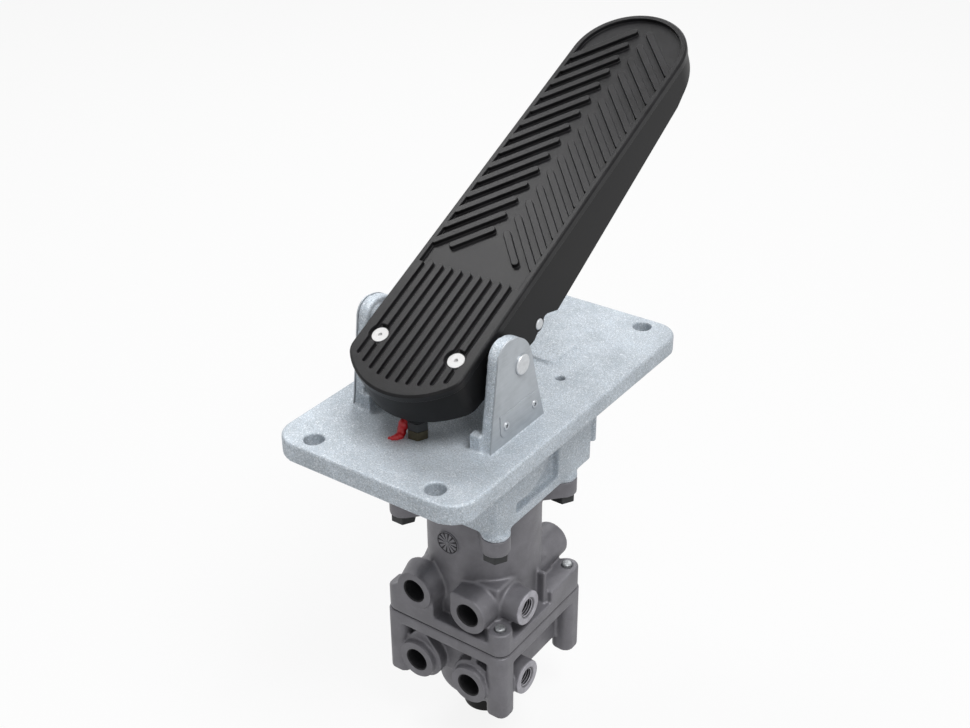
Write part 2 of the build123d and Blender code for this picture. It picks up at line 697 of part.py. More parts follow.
# Treadle body: a deep skirted shell with ribs, a pivot tube and roller cheeks
CHEEK_X = ROLLER_W / 2 + ROLLER_SIDE_GAP + ROLLER_CHEEK_T / 2
with BuildPart() as ribs:
    with BuildSketch(PEDAL.offset(BODY_TOP - DECK_T + 1)):
        for side in (-1, 1):
            with Locations((side * CHEEK_X, (TIP_REACH - WALL / 2) / 2)):
                Rectangle(ROLLER_CHEEK_T, TIP_REACH - WALL / 2)
        for s in RIB_SPOTS:
            with Locations((0, s)):
                Rectangle(2 * BODY_HALF - 2, RIB_T)
    extrude(amount=-60)
    with BuildSketch(PEDAL_SIDE):
        add(skirt_profile(RIB_RISE))
    extrude(amount=60, both=True, mode=Mode.INTERSECT)
with BuildPart() as treadle:
    with BuildSketch(PEDAL.offset(BODY_TOP)):
        add(tread_outline(BODY_INSET))
    extrude(amount=-60)
    with BuildSketch(PEDAL.offset(BODY_TOP - DECK_T)):
        add(tread_outline(BODY_INSET + WALL))
    extrude(amount=-60, mode=Mode.SUBTRACT)
    with BuildSketch(PEDAL_SIDE):
        add(skirt_profile())
    extrude(amount=60, both=True, mode=Mode.INTERSECT)
    add(ribs.part)
    with BuildSketch(PEDAL_SIDE.offset(-BODY_HALF)):
        Circle(PIVOT_TUBE_R)
    extrude(amount=2 * BODY_HALF)
    # Bosses round the roller pin, in both skirts and in the cheeks beside the roller
    for side in (-1, 1):
        with BuildSketch(PEDAL_SIDE.offset(side * BODY_HALF)):
            with Locations((ROLLER_S, ROLLER_N)):
                Circle(PIN_BOSS_R)
        extrude(amount=-side * PIN_BOSS_L)
        with BuildSketch(PEDAL_SIDE.offset(side * (CHEEK_X + ROLLER_CHEEK_T / 2))):
            with Locations((ROLLER_S, ROLLER_N)):
                Circle(PIN_BOSS_R)
        extrude(amount=-side * ROLLER_CHEEK_T)
    # Vertical boss that holds the stop buffer
    with BuildSketch(Plane.XY.offset(BUFFER_SEAT_Z)):
        with Locations((STOP_X, STOP_Y)):
            Circle(BUFFER_R + BUFFER_BOSS_WALL)
    extrude(until=Until.NEXT)
    with BuildSketch(Plane.XY.offset(BUFFER_SEAT_Z - 5)):
        with Locations((STOP_X, STOP_Y)):
            Circle(BUFFER_STEM_R + SNUG)
    extrude(amount=5 + BUFFER_STEM_L + 1, mode=Mode.SUBTRACT)
    # Bores for the pivot bushes and the roller pin, and screw holes in the deck
    with BuildSketch(PEDAL_SIDE.offset(-BODY_HALF - 5)):
        Circle(BUSH_R + SNUG)
    extrude(amount=2 * BODY_HALF + 10, mode=Mode.SUBTRACT)
    with BuildSketch(PEDAL_SIDE.offset(-BODY_HALF - 5)):
        with Locations((ROLLER_S, ROLLER_N)):
            Circle(ROLLER_PIN_R + SNUG)
    extrude(amount=2 * BODY_HALF + 10, mode=Mode.SUBTRACT)
    with BuildSketch(PEDAL.offset(BODY_TOP + 1)):
        with Locations((-PAD_SCREW_X, PAD_SCREW_S), (PAD_SCREW_X, PAD_SCREW_S)):
            Circle(PAD_SHANK_R + SNUG)
    extrude(amount=-DECK_T - 2, mode=Mode.SUBTRACT)
save(treadle.part, "treadle_body")

with BuildPart() as bushes:
    for side in (-1, 1):
        with BuildSketch(PEDAL_SIDE.offset(side * BODY_HALF)):
            Circle(BUSH_R)
        extrude(amount=-side * BUSH_L)
        with BuildSketch(PEDAL_SIDE.offset(side * BODY_HALF)):
            Circle(PIVOT_TUBE_R - 1)
        extrude(amount=side * BUSH_COLLAR_T)
    with BuildSketch(PEDAL_SIDE.offset(-BODY_HALF - 5)):
        Circle(PIN_R + RUNNING)
    extrude(amount=2 * BODY_HALF + 10, mode=Mode.SUBTRACT)
save(bushes.part, "pivot_bushes")

with BuildPart() as roller_pin:
    with BuildSketch(PEDAL_SIDE.offset(-BODY_HALF - ROLLER_PIN_END)):
        with Locations((ROLLER_S, ROLLER_N)):
            Circle(ROLLER_PIN_R)
    extrude(amount=2 * (BODY_HALF + ROLLER_PIN_END))
    chamfer(roller_pin.faces().filter_by(Axis.X).edges(), length=0.6)
save(roller_pin.part, "roller_pin")

with BuildPart() as roller:
    with BuildSketch(PEDAL_SIDE.offset(-ROLLER_W / 2)):
        with Locations((ROLLER_S, ROLLER_N)):
            Circle(ROLLER_R)
    extrude(amount=ROLLER_W)
    chamfer(roller.edges(), length=1.0)
    with BuildSketch(PEDAL_SIDE.offset(-ROLLER_W / 2)):
        with Locations((ROLLER_S, ROLLER_N)):
            Circle(ROLLER_PIN_R + RUNNING)
    extrude(amount=ROLLER_W, mode=Mode.SUBTRACT)
save(roller.part, "roller")

# Stop screw, its lock nut, lacquer seal and the rubber buffer it meets
with BuildPart() as stop_screw:
    with BuildSketch(Plane.XY.offset(STOP_HEAD_Z)):
        with Locations((STOP_X, STOP_Y)):
            RegularPolygon(STOP_AF / 2, 6, major_radius=False, rotation=STOP_TURN)
    extrude(amount=STOP_HEAD_H)
    with BuildSketch(Plane.XY.offset(STOP_HEAD_Z)):
        with Locations((STOP_X, STOP_Y)):
            Circle(STOP_R)
    extrude(amount=-(STOP_HEAD_Z - PLATE_T) - STOP_DEPTH)
save(stop_screw.part, "stop_screw")

with BuildPart() as stop_nut:
    with BuildSketch(Plane.XY.offset(PLATE_T)):
        with Locations((STOP_X, STOP_Y)):
            RegularPolygon(STOP_AF / 2, 6, major_radius=False, rotation=STOP_TURN)
            Circle(STOP_R + SNUG, mode=Mode.SUBTRACT)
    extrude(amount=STOP_NUT_H)
save(stop_nut.part, "stop_nut")

with BuildPart() as lacquer:
    with BuildLine() as run:
        Polyline(
            (STOP_X - 15.5, STOP_Y - 5.0, PLATE_T + 1.6),
            (STOP_X - 9.3, STOP_Y - 3.0, PLATE_T + 3.0),
            (STOP_X - 9.0, STOP_Y - 1.0, PLATE_T + STOP_NUT_H + 6.0),
        )
        fillet(run.vertices().sort_by(Axis.Z)[1], radius=3.0)
    with BuildSketch(Plane(origin=run.line @ 0, z_dir=run.line % 0)):
        Circle(1.5)
    sweep()
save(lacquer.part, "seal_lacquer")

with BuildPart() as buffer:
    with BuildSketch(Plane.XY.offset(BUFFER_SEAT_Z)):
        with Locations((STOP_X, STOP_Y)):
            Circle(BUFFER_R)
    extrude(amount=-(BUFFER_SEAT_Z - STOP_HEAD_Z - STOP_HEAD_H - GAP))
    chamfer(buffer.faces().sort_by(Axis.Z)[0].edges(), length=1.0)
    with BuildSketch(Plane.XY.offset(BUFFER_SEAT_Z)):
        with Locations((STOP_X, STOP_Y)):
            Circle(BUFFER_STEM_R)
    extrude(amount=BUFFER_STEM_L)
save(buffer.part, "stop_buffer")

# Guide bush in the tower, and the tappet that the roller presses
with BuildPart() as guide_bush:
    with BuildSketch(valve_plane(-NECK_ROOF)):
        Circle(TAPPET_ROD_R + GUIDE_WALL - SNUG)
        Circle(TAPPET_ROD_R + RUNNING, mode=Mode.SUBTRACT)
    extrude(amount=NECK_ROOF + TOWER_TOP_Z)
save(guide_bush.part, "guide_bush")

with BuildPart() as tappet:
    with BuildSketch(VALVE_SECTION):
        add(section(
            (0, TAPPET_TOP_Z), (TAPPET_HEAD_R, TAPPET_TOP_Z), (TAPPET_HEAD_R, TAPPET_HEAD_Z),
            (TAPPET_ROD_R, TAPPET_HEAD_Z), (TAPPET_ROD_R, TAPPET_FOOT_Z + TAPPET_FOOT_T),
            (TAPPET_FOOT_R, TAPPET_FOOT_Z + TAPPET_FOOT_T), (TAPPET_FOOT_R, TAPPET_FOOT_Z),
            (0, TAPPET_FOOT_Z),
        ))
    revolve(axis=VALVE_LINE)
    fillet(tappet.edges().group_by(Axis.Z)[-1], radius=1.5)
save(tappet.part, "tappet")

# Folded rubber boot between the tower and the tappet's head
with BuildPart() as boot:
    boot_h = TAPPET_HEAD_Z - TOWER_TOP_Z - 2 * GAP
    crests = []
    for step in range(2 * BOOT_FOLDS + 1):
        r = BOOT_R if step % 2 else BOOT_R - BOOT_DEPTH
        crests.append((r, TOWER_TOP_Z + GAP + step * boot_h / (2 * BOOT_FOLDS)))
    roots = [(r - BOOT_WALL, z) for r, z in reversed(crests)]
    with BuildSketch(VALVE_SECTION):
        add(section(*crests, *roots))
    revolve(axis=VALVE_LINE)
save(boot.part, "tappet_boot")

# Rubber block through which the tappet pushes the primary piston
with BuildPart() as block:
    with BuildSketch(valve_plane(PISTON_TOP_Z)):
        Circle(SPRING_BLOCK_R)
    extrude(amount=SPRING_BLOCK_T)
    chamfer(block.edges(), length=2.0)
save(block.part, "graduating_block")


def piston(top, disc_t, foot, bore_r):
    """A disc with a seal groove and a stem, turned about the valve's axis."""
    edge = PISTON_BORE_R - RUNNING
    groove = edge - 2 * SEAL_R
    middle = top - disc_t / 2
    points = [
        (bore_r, top), (edge, top), (edge, middle + SEAL_R), (groove, middle + SEAL_R),
        (groove, middle - SEAL_R), (edge, middle - SEAL_R), (edge, top - disc_t),
        (STEM_R, top - disc_t), (STEM_R, foot), (bore_r, foot),
    ]
    with BuildPart() as turned:
        with BuildSketch(VALVE_SECTION):
            add(section(*points))
        revolve(axis=VALVE_LINE)
    return turned.part


def seal_ring(middle):
    """The round rubber ring in a piston's groove."""
    with BuildPart() as ring:
        with BuildSketch(VALVE_SECTION):
            with Locations((PISTON_BORE_R - RUNNING - SEAL_R, middle)):
                Circle(SEAL_R - SNUG)
        revolve(axis=VALVE_LINE)
    return ring.part


def coil_spring(coil_r, foot, top):
    """A coil spring of round wire that stands between two levels."""
    lift = top - foot - 2 * (WIRE_R + SNUG)
    with BuildPart() as spring:
        with BuildLine():
            wire = Helix(lift / COIL_TURNS, lift, coil_r, center=(0, VALVE_Y, foot + WIRE_R + SNUG))
        with BuildSketch(Plane(origin=wire @ 0, z_dir=wire % 0)):
            Circle(WIRE_R)
        sweep()
    return spring.part


def valve_sleeve(web_bottom, length):
    """A rubber-faced disc under its seat, on a hollow sleeve."""
    top = web_bottom - VALVE_LIP
    with BuildPart() as valve:
        with BuildSketch(VALVE_SECTION):
            add(section(
                (STEM_BORE_R, top), (VALVE_DISC_R, top), (VALVE_DISC_R, top - VALVE_DISC_T),
                (VALVE_SLEEVE_R, top - VALVE_DISC_T), (VALVE_SLEEVE_R, top - length),
                (STEM_BORE_R, top - length),
            ))
        revolve(axis=VALVE_LINE)
    return valve.part


def retainer(top):
    """A ring with a guide tube that holds the valve's spring and sleeve."""
    with BuildPart() as ring:
        with BuildSketch(VALVE_SECTION):
            add(section(
                (VALVE_SLEEVE_R + RUNNING, top + GUIDE_TUBE_H), (GUIDE_TUBE_R, top + GUIDE_TUBE_H),
                (GUIDE_TUBE_R, top), (VALVE_BORE_R - SNUG, top), (VALVE_BORE_R - SNUG, top - RETAINER_T),
                (VALVE_SLEEVE_R + RUNNING, top - RETAINER_T),
            ))
        revolve(axis=VALVE_LINE)
    return ring.part


# Both circuits have the same pieces: piston, seal, spring, valve, valve spring, retainer
SLEEVE_L = RETAINER_DROP + RETAINER_T + SLEEVE_END - VALVE_LIP
for circuit, top, disc_t, web_top, bore_r in (
    ("primary", PISTON_TOP_Z, PISTON_T, UPPER_WEB_TOP, 0.0),
    ("secondary", RELAY_TOP_Z, RELAY_T, LOWER_WEB_TOP, STEM_BORE_R),
):
    web_bottom = web_top - WEB_T
    retainer_top = web_bottom - RETAINER_DROP
    disc_bottom = web_bottom - VALVE_LIP - VALVE_DISC_T
    save(piston(top, disc_t, web_bottom + STEM_LIFT - VALVE_LIP, bore_r), f"{circuit}_piston")
    save(seal_ring(top - disc_t / 2), f"{circuit}_seal")
    save(coil_spring(RETURN_COIL_R, web_top, top - disc_t), f"{circuit}_return_spring")
    save(valve_sleeve(web_bottom, SLEEVE_L), f"{circuit}_valve")
    save(coil_spring(VALVE_COIL_R, retainer_top, disc_bottom), f"{circuit}_valve_spring")
    save(retainer(retainer_top), f"{circuit}_retainer")


def valve_bores(top, web_top, bottom):
    """Piston bore above the web, seat through it and valve bore below, as one solid."""
    with BuildPart() as bores:
        with BuildSketch(VALVE_SECTION):
            add(section(
                (0, top), (PISTON_BORE_R, top), (PISTON_BORE_R, web_top), (SEAT_R, web_top),
                (SEAT_R, web_top - WEB_T), (VALVE_BORE_R, web_top - WEB_T), (VALVE_BORE_R, bottom),
                (0, bottom),
            ))
        revolve(axis=VALVE_LINE)
    return bores.part


def cut_ports(z):
    """The solids to take away for two front ports and one side port at one level."""
    with BuildPart() as cut:
        for side, rise, depth in ((-1, PASSAGE_IN, PISTON_BORE_R), (1, -PASSAGE_DROP, VALVE_BORE_R)):
            with BuildSketch(front_plane(PORT_FACE_Y)):
                with Locations((side * PORT_X, z)):
                    Circle(PORT_R)
            extrude(amount=-PORT_DEPTH)
            with BuildSketch(front_plane(PORT_FACE_Y)):
                with Locations((side * PORT_X, z)):
                    Circle(PORT_R + PORT_MOUTH)
            extrude(amount=-PORT_MOUTH, taper=45)
            with BuildSketch(front_plane(PORT_FACE_Y)):
                with Locations((side * (PORT_X - PASSAGE_IN), z + rise)):
                    Circle(PASSAGE_R)
            extrude(amount=PORT_FACE_Y - VALVE_Y + depth / 2)
        with BuildSketch(side_plane(SIDE_PORT_FACE_X)):
            with Locations((SIDE_PORT_Y, z)):
                Circle(SIDE_PORT_R)
        extrude(amount=-SIDE_PORT_DEPTH)
        with BuildSketch(side_plane(SIDE_PORT_FACE_X)):
            with Locations((SIDE_PORT_Y, z)):
                Circle(SIDE_PORT_R + SIDE_PORT_MOUTH)
        extrude(amount=-SIDE_PORT_MOUTH, taper=45)
        with BuildSketch(side_plane(SIDE_PORT_FACE_X)):
            with Locations((SIDE_PORT_Y, z + PASSAGE_DROP)):
                Circle(PASSAGE_R)
        extrude(amount=-(SIDE_PORT_FACE_X - PISTON_BORE_R / 2))
    return cut.part


def port_bosses(z):
    """The round bosses that carry two front ports and one side port."""
    with BuildPart() as bosses:
        with BuildSketch(front_plane(PORT_FACE_Y)):
            with Locations((-PORT_X, z), (PORT_X, z)):
                Circle(PORT_BOSS_R)
        extrude(amount=PORT_FACE_Y - VALVE_Y)
        with BuildSketch(side_plane(SIDE_PORT_FACE_X)):
            with Locations((SIDE_PORT_Y, z)):
                Circle(SIDE_BOSS_R)
        extrude(amount=-SIDE_PORT_FACE_X)
    return bosses.part


# Left front boss of the upper body, flared towards the barrel, and the shoulder beside it
with BuildPart() as left_shoulder:
    with BuildSketch(front_plane(BAND_FRONT_Y)):
        with BuildLine():
            Polyline(
                (-BAND_HALF, PARTING_Z),
                (-BAND_HALF, POST_TOP_Z),
                (-POST_OFFSET, SHOULDER_TOP_Z),
                (-PORT_X - PORT_BOSS_R / 2, PORT_UPPER_Z + PORT_BOSS_R / 2),
                (-PORT_X + PORT_BOSS_R, PORT_UPPER_Z),
                (-PORT_X + PORT_BOSS_R, PARTING_Z),
                close=True,
            )
        make_face()
    extrude(amount=-SHOULDER_DEPTH)
    with BuildSketch(valve_plane(PARTING_Z)):
        RectangleRounded(2 * BAND_HALF, 2 * BAND_HALF, POST_R)
    extrude(amount=SHOULDER_Z - PARTING_Z, mode=Mode.INTERSECT)
with BuildPart() as left_flare:
    with BuildSketch(front_plane(BAND_FRONT_Y)):
        with Locations((-PORT_X, PORT_UPPER_Z)):
            Circle(PORT_BOSS_R)
    with BuildSketch(front_plane(BOSS_FLARE_Y)):
        with Locations((-PORT_X, PORT_UPPER_Z)):
            Circle(BOSS_FLARE_R)
    loft()

# Square root behind the right front boss, with rounded edges
with BuildPart() as right_root:
    with BuildSketch(Plane.XY.offset(PARTING_Z)):
        with Locations(((ROOT_IN_X + ROOT_OUT_X) / 2, (ROOT_FRONT_Y + VALVE_Y) / 2)):
            Rectangle(ROOT_OUT_X - ROOT_IN_X, VALVE_Y - ROOT_FRONT_Y)
    extrude(amount=ROOT_TOP_Z - PARTING_Z)
    fillet(right_root.edges().filter_by(Axis.Z).group_by(Axis.Y)[0], radius=ROOT_EDGE_R)
    fillet(right_root.faces().sort_by(Axis.Z)[-1].edges(), radius=ROOT_EDGE_R * 0.8)

# Upper valve body: flange, barrel, roofed block, post tops, band and ports
with BuildPart() as roofed_block:
    with BuildSketch(valve_plane(PARTING_Z)):
        RectangleRounded(2 * BLOCK_HALF, 2 * BLOCK_HALF, BLOCK_CORNER)
    extrude(amount=SHOULDER_Z - PARTING_Z)
    roof_r = BLOCK_HALF * 2
    roof_drop = (roof_r - VALVE_BARREL_R) * math.tan(math.radians(ROOF_SLOPE))
    with BuildSketch(VALVE_SECTION):
        add(section(
            (0, SHOULDER_Z), (VALVE_BARREL_R, SHOULDER_Z), (roof_r, SHOULDER_Z - roof_drop),
            (roof_r, PARTING_Z - roof_drop), (0, PARTING_Z - roof_drop),
        ))
    revolve(axis=VALVE_LINE, mode=Mode.INTERSECT)

with BuildPart() as upper_body:
    with BuildSketch(valve_plane(VALVE_TOP_Z)):
        add(corner_arms(BOLT_X, BOLT_Y, LUG_R, VALVE_BARREL_R))
    extrude(amount=-FLANGE_T)
    with BuildSketch(valve_plane(VALVE_TOP_Z)):
        Circle(VALVE_BARREL_R)
    extrude(amount=PARTING_Z - VALVE_TOP_Z)
    add(roofed_block.part)
    add(left_shoulder.part)
    add(left_flare.part)
    add(right_root.part)
    add(port_bosses(PORT_UPPER_Z))
    # Square upper corner of the right front boss
    with BuildSketch(front_plane(PORT_FACE_Y)):
        with Locations((PORT_X - PORT_BOSS_R / 2, PORT_UPPER_Z + PORT_BOSS_R / 2)):
            RectangleRounded(PORT_BOSS_R, PORT_BOSS_R, BOSS_CORNER_R)
    extrude(amount=PORT_FACE_Y - VALVE_Y)
    # Level ledge at the right rear, ended by an upright rib beside the side port
    with BuildSketch(Plane.XY.offset(PARTING_Z)):
        with Locations(((LEDGE_IN_X + BAND_HALF) / 2, (LEDGE_FRONT_Y + VALVE_Y + POST_OFFSET) / 2)):
            Rectangle(BAND_HALF - LEDGE_IN_X, VALVE_Y + POST_OFFSET - LEDGE_FRONT_Y)
    extrude(amount=POST_TOP_Z - PARTING_Z)
    with BuildSketch(Plane.XY.offset(PARTING_Z)):
        with Locations(((LEDGE_IN_X + LEDGE_RIB_X) / 2, LEDGE_FRONT_Y - LEDGE_RIB_T / 2)):
            Rectangle(LEDGE_RIB_X - LEDGE_IN_X, LEDGE_RIB_T)
    extrude(amount=LEDGE_RIB_TOP_Z - PARTING_Z)
    with BuildSketch(front_plane(REAR_BOSS_Y)):
        with Locations((PORT_X, PORT_UPPER_Z)):
            Circle(REAR_BOSS_R)
    extrude(amount=REAR_BOSS_Y - VALVE_Y)
    with BuildSketch(valve_plane(PARTING_Z)):
        add(corner_arms(POST_OFFSET, POST_OFFSET, POST_R, VALVE_BARREL_R))
    extrude(amount=POST_TOP_Z - PARTING_Z)
    with BuildSketch(valve_plane(PARTING_Z)):
        RectangleRounded(2 * BAND_HALF, 2 * BAND_HALF, POST_R)
    extrude(amount=BAND_T)
    # Casting date dial on the front of the barrel
    with BuildSketch(front_plane(VALVE_Y - VALVE_BARREL_R - DIAL_RISE)):
        with Locations((DIAL_X, DIAL_Z)):
            Circle(DIAL_R)
    extrude(amount=-VALVE_BARREL_R / 2)
    with BuildSketch(front_plane(VALVE_Y - VALVE_BARREL_R - DIAL_RISE)):
        with Locations((DIAL_X, DIAL_Z)):
            Circle(DIAL_R - DIAL_LINE_W)
            Circle(DIAL_R - 2 * DIAL_LINE_W, mode=Mode.SUBTRACT)
            with PolarLocations(DIAL_R * 0.65, DIAL_MARKS):
                Rectangle(DIAL_R * 0.4, DIAL_LINE_W)
            Rectangle(DIAL_LINE_W, DIAL_R * 0.7)
    extrude(amount=-DIAL_CUT, mode=Mode.SUBTRACT)
    # Bores, ports, bolt holes and screw threads
    add(valve_bores(VALVE_TOP_Z, UPPER_WEB_TOP, PARTING_Z), mode=Mode.SUBTRACT)
    add(cut_ports(PORT_UPPER_Z), mode=Mode.SUBTRACT)
    with BuildSketch(valve_plane(VALVE_TOP_Z)):
        with GridLocations(2 * BOLT_X, 2 * BOLT_Y, 2, 2):
            Circle(BOLT_R + GAP)
    extrude(amount=-FLANGE_T, mode=Mode.SUBTRACT)
    with BuildSketch(valve_plane(PARTING_Z)):
        with GridLocations(2 * POST_OFFSET, 2 * POST_OFFSET, 2, 2):
            Circle(SCREW_R + SNUG)
    extrude(amount=POST_TOP_Z + SCREW_TIP + GAP - PARTING_Z, mode=Mode.SUBTRACT)
save(upper_body.part, "upper_valve_body")

# Lower valve body: band, block, posts, barrel and ports
with BuildPart() as lower_body:
    with BuildSketch(valve_plane(LOWER_TOP_Z)):
        Circle(LOWER_BARREL_R)
    extrude(amount=LOWER_BOTTOM_Z - LOWER_TOP_Z)
    fillet(lower_body.edges().group_by(Axis.Z)[0], radius=LOWER_EDGE_R)
    with BuildSketch(valve_plane(LOWER_TOP_Z)):
        RectangleRounded(2 * LOWER_BLOCK_HALF, 2 * LOWER_BLOCK_HALF, BLOCK_CORNER)
    extrude(amount=LOWER_BLOCK_Z - LOWER_TOP_Z)
    with BuildSketch(valve_plane(LOWER_TOP_Z)):
        RectangleRounded(2 * BAND_HALF, 2 * BAND_HALF, POST_R)
    extrude(amount=-BAND_T)
    with BuildSketch(valve_plane(LOWER_TOP_Z)):
        with GridLocations(2 * POST_OFFSET, 2 * POST_OFFSET, 2, 2):
            RectangleRounded(2 * POST_R, 2 * POST_R, POST_CORNER)
    extrude(amount=POST_FOOT_Z - LOWER_TOP_Z)
    add(port_bosses(PORT_LOWER_Z))
    # Wider roots behind the front bosses, the left one with a gabled hood up to the band
    hood_lean = math.acos(BOSS_ROOT_R / (HOOD_TOP_Z - PORT_LOWER_Z))
    hood_x = BOSS_ROOT_R * math.sin(hood_lean)
    hood_z = PORT_LOWER_Z + BOSS_ROOT_R * math.cos(hood_lean)
    with BuildSketch(front_plane(BOSS_ROOT_Y)):
        with Locations((-PORT_X, PORT_LOWER_Z), (PORT_X, PORT_LOWER_Z)):
            Circle(BOSS_ROOT_R)
        add(section((-PORT_X - hood_x, hood_z), (-PORT_X, HOOD_TOP_Z), (-PORT_X + hood_x, hood_z)))
        add(section((-PORT_X - hood_x, hood_z), (-PORT_X, PORT_LOWER_Z), (-PORT_X + hood_x, hood_z)))
    extrude(amount=BOSS_ROOT_Y - VALVE_Y + PISTON_BORE_R)
    # Web that ties the right front boss to the band
    web_middle = (PORT_LOWER_Z + LOWER_TOP_Z) / 2
    with BuildSketch(front_plane(BAND_FRONT_Y + BOSS_WEB_T)):
        with Locations((PORT_X, web_middle)):
            Rectangle(BOSS_WEB_T, LOWER_TOP_Z - PORT_LOWER_Z - 4)
    extrude(amount=BAND_FRONT_Y - VALVE_Y + PISTON_BORE_R)
    add(valve_bores(LOWER_TOP_Z, LOWER_WEB_TOP, LOWER_BOTTOM_Z), mode=Mode.SUBTRACT)
    # Groove for the ring that holds the lower retainer
    with BuildSketch(valve_plane(RING_TOP_Z)):
        Circle(VALVE_BORE_R + RING_DEPTH)
    extrude(amount=-RING_T, mode=Mode.SUBTRACT)
    add(cut_ports(PORT_LOWER_Z), mode=Mode.SUBTRACT)
    with BuildSketch(valve_plane(LOWER_TOP_Z)):
        with GridLocations(2 * POST_OFFSET, 2 * POST_OFFSET, 2, 2):
            Circle(SCREW_HOLE_R)
    extrude(amount=POST_FOOT_Z - LOWER_TOP_Z, mode=Mode.SUBTRACT)
save(lower_body.part, "lower_valve_body")

with BuildPart() as gasket:
    with BuildSketch(valve_plane(LOWER_TOP_Z)):
        RectangleRounded(2 * BAND_HALF, 2 * BAND_HALF, POST_R)
        Circle(PISTON_BORE_R, mode=Mode.SUBTRACT)
        with GridLocations(2 * POST_OFFSET, 2 * POST_OFFSET, 2, 2):
            Circle(SCREW_HOLE_R, mode=Mode.SUBTRACT)
    extrude(amount=GASKET_T)
save(gasket.part, "body_gasket")

with BuildPart() as retaining_ring:
    with BuildSketch(valve_plane(RING_TOP_Z)):
        Circle(VALVE_BORE_R + RING_DEPTH - SNUG)
        Circle(VALVE_BORE_R - RING_W, mode=Mode.SUBTRACT)
        with Locations((0, VALVE_BORE_R)):
            Rectangle(RING_W * 2, RING_W * 4, mode=Mode.SUBTRACT)
    extrude(amount=-RING_T)
save(retaining_ring.part, "retaining_ring")

# Exhaust silencer plugged into the bottom of the lower body
with BuildPart() as silencer:
    plug_z = LOWER_BOTTOM_Z + EXHAUST_PLUG_T - 1
    with BuildSketch(VALVE_SECTION):
        add(section(
            (EXHAUST_R - EXHAUST_WALL, plug_z), (VALVE_BORE_R - SNUG, plug_z),
            (VALVE_BORE_R - SNUG, plug_z - EXHAUST_PLUG_T), (EXHAUST_R, plug_z - EXHAUST_PLUG_T),
            (EXHAUST_R, EXHAUST_BOTTOM_Z), (0, EXHAUST_BOTTOM_Z),
            (0, EXHAUST_BOTTOM_Z + EXHAUST_WALL), (EXHAUST_R - EXHAUST_WALL, EXHAUST_BOTTOM_Z + EXHAUST_WALL),
        ))
    revolve(axis=VALVE_LINE)
    with BuildSketch(valve_plane(EXHAUST_BOTTOM_Z)):
        with PolarLocations(EXHAUST_R / 2, EXHAUST_HOLES):
            Circle(EXHAUST_HOLE_R)
    extrude(amount=EXHAUST_WALL, mode=Mode.SUBTRACT)
save(silencer.part, "exhaust_silencer")

# Bolts through the valve's flange into the neck
with BuildPart() as flange_bolts:
    with BuildSketch(valve_plane(FLANGE_BOTTOM_Z)):
        with GridLocations(2 * BOLT_X, 2 * BOLT_Y, 2, 2):
            RegularPolygon(BOLT_HEAD_AF / 2, 6, major_radius=False)
    extrude(amount=-BOLT_HEAD_H)
    with BuildSketch(valve_plane(FLANGE_BOTTOM_Z)):
        with GridLocations(2 * BOLT_X, 2 * BOLT_Y, 2, 2):
            Circle(BOLT_R)
    extrude(amount=FLANGE_T + BOLT_GRIP)
save(flange_bolts.part, "flange_bolts")

# Long screws that hold the two valve bodies together, from below
with BuildPart() as body_screws:
    with BuildSketch(valve_plane(POST_FOOT_Z)):
        with GridLocations(2 * POST_OFFSET, 2 * POST_OFFSET, 2, 2):
            Circle(SCREW_HEAD_R)
    extrude(amount=-SCREW_HEAD_H)
    with BuildSketch(valve_plane(POST_FOOT_Z)):
        with GridLocations(2 * POST_OFFSET, 2 * POST_OFFSET, 2, 2):
            Circle(SCREW_R)
    extrude(amount=POST_TOP_Z + SCREW_TIP - POST_FOOT_Z)
    chamfer(body_screws.edges().group_by(Axis.Z)[-1], length=0.8)
save(body_screws.part, "body_screws")
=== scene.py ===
"""Looks of the truck foot brake valve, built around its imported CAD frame."""
import json
import math

import bpy
from mathutils import Matrix, Vector


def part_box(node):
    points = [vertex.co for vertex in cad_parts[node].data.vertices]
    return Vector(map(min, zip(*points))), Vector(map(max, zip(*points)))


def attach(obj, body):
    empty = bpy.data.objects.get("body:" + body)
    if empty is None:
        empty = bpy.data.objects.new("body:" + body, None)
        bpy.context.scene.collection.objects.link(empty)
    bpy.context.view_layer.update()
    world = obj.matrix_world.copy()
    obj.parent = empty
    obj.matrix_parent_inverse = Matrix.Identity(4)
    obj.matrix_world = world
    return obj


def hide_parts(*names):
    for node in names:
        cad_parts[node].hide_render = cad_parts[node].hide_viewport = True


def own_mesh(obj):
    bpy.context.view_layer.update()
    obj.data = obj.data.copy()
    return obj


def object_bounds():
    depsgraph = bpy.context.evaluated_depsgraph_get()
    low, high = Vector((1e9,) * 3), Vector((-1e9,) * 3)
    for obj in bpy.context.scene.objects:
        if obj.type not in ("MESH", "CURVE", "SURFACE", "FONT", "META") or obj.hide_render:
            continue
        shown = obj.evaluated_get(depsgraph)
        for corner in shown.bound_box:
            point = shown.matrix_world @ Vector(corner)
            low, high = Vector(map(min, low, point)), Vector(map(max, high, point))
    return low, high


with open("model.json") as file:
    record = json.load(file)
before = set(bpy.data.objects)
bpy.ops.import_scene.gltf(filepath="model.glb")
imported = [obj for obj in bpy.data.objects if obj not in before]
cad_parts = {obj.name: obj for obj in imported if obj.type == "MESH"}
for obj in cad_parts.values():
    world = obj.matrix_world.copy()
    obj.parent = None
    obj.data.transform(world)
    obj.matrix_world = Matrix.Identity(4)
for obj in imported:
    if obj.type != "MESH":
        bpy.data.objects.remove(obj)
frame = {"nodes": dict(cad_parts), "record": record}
cad_low, cad_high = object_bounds()
nodes = frame["nodes"]

MM = 0.001


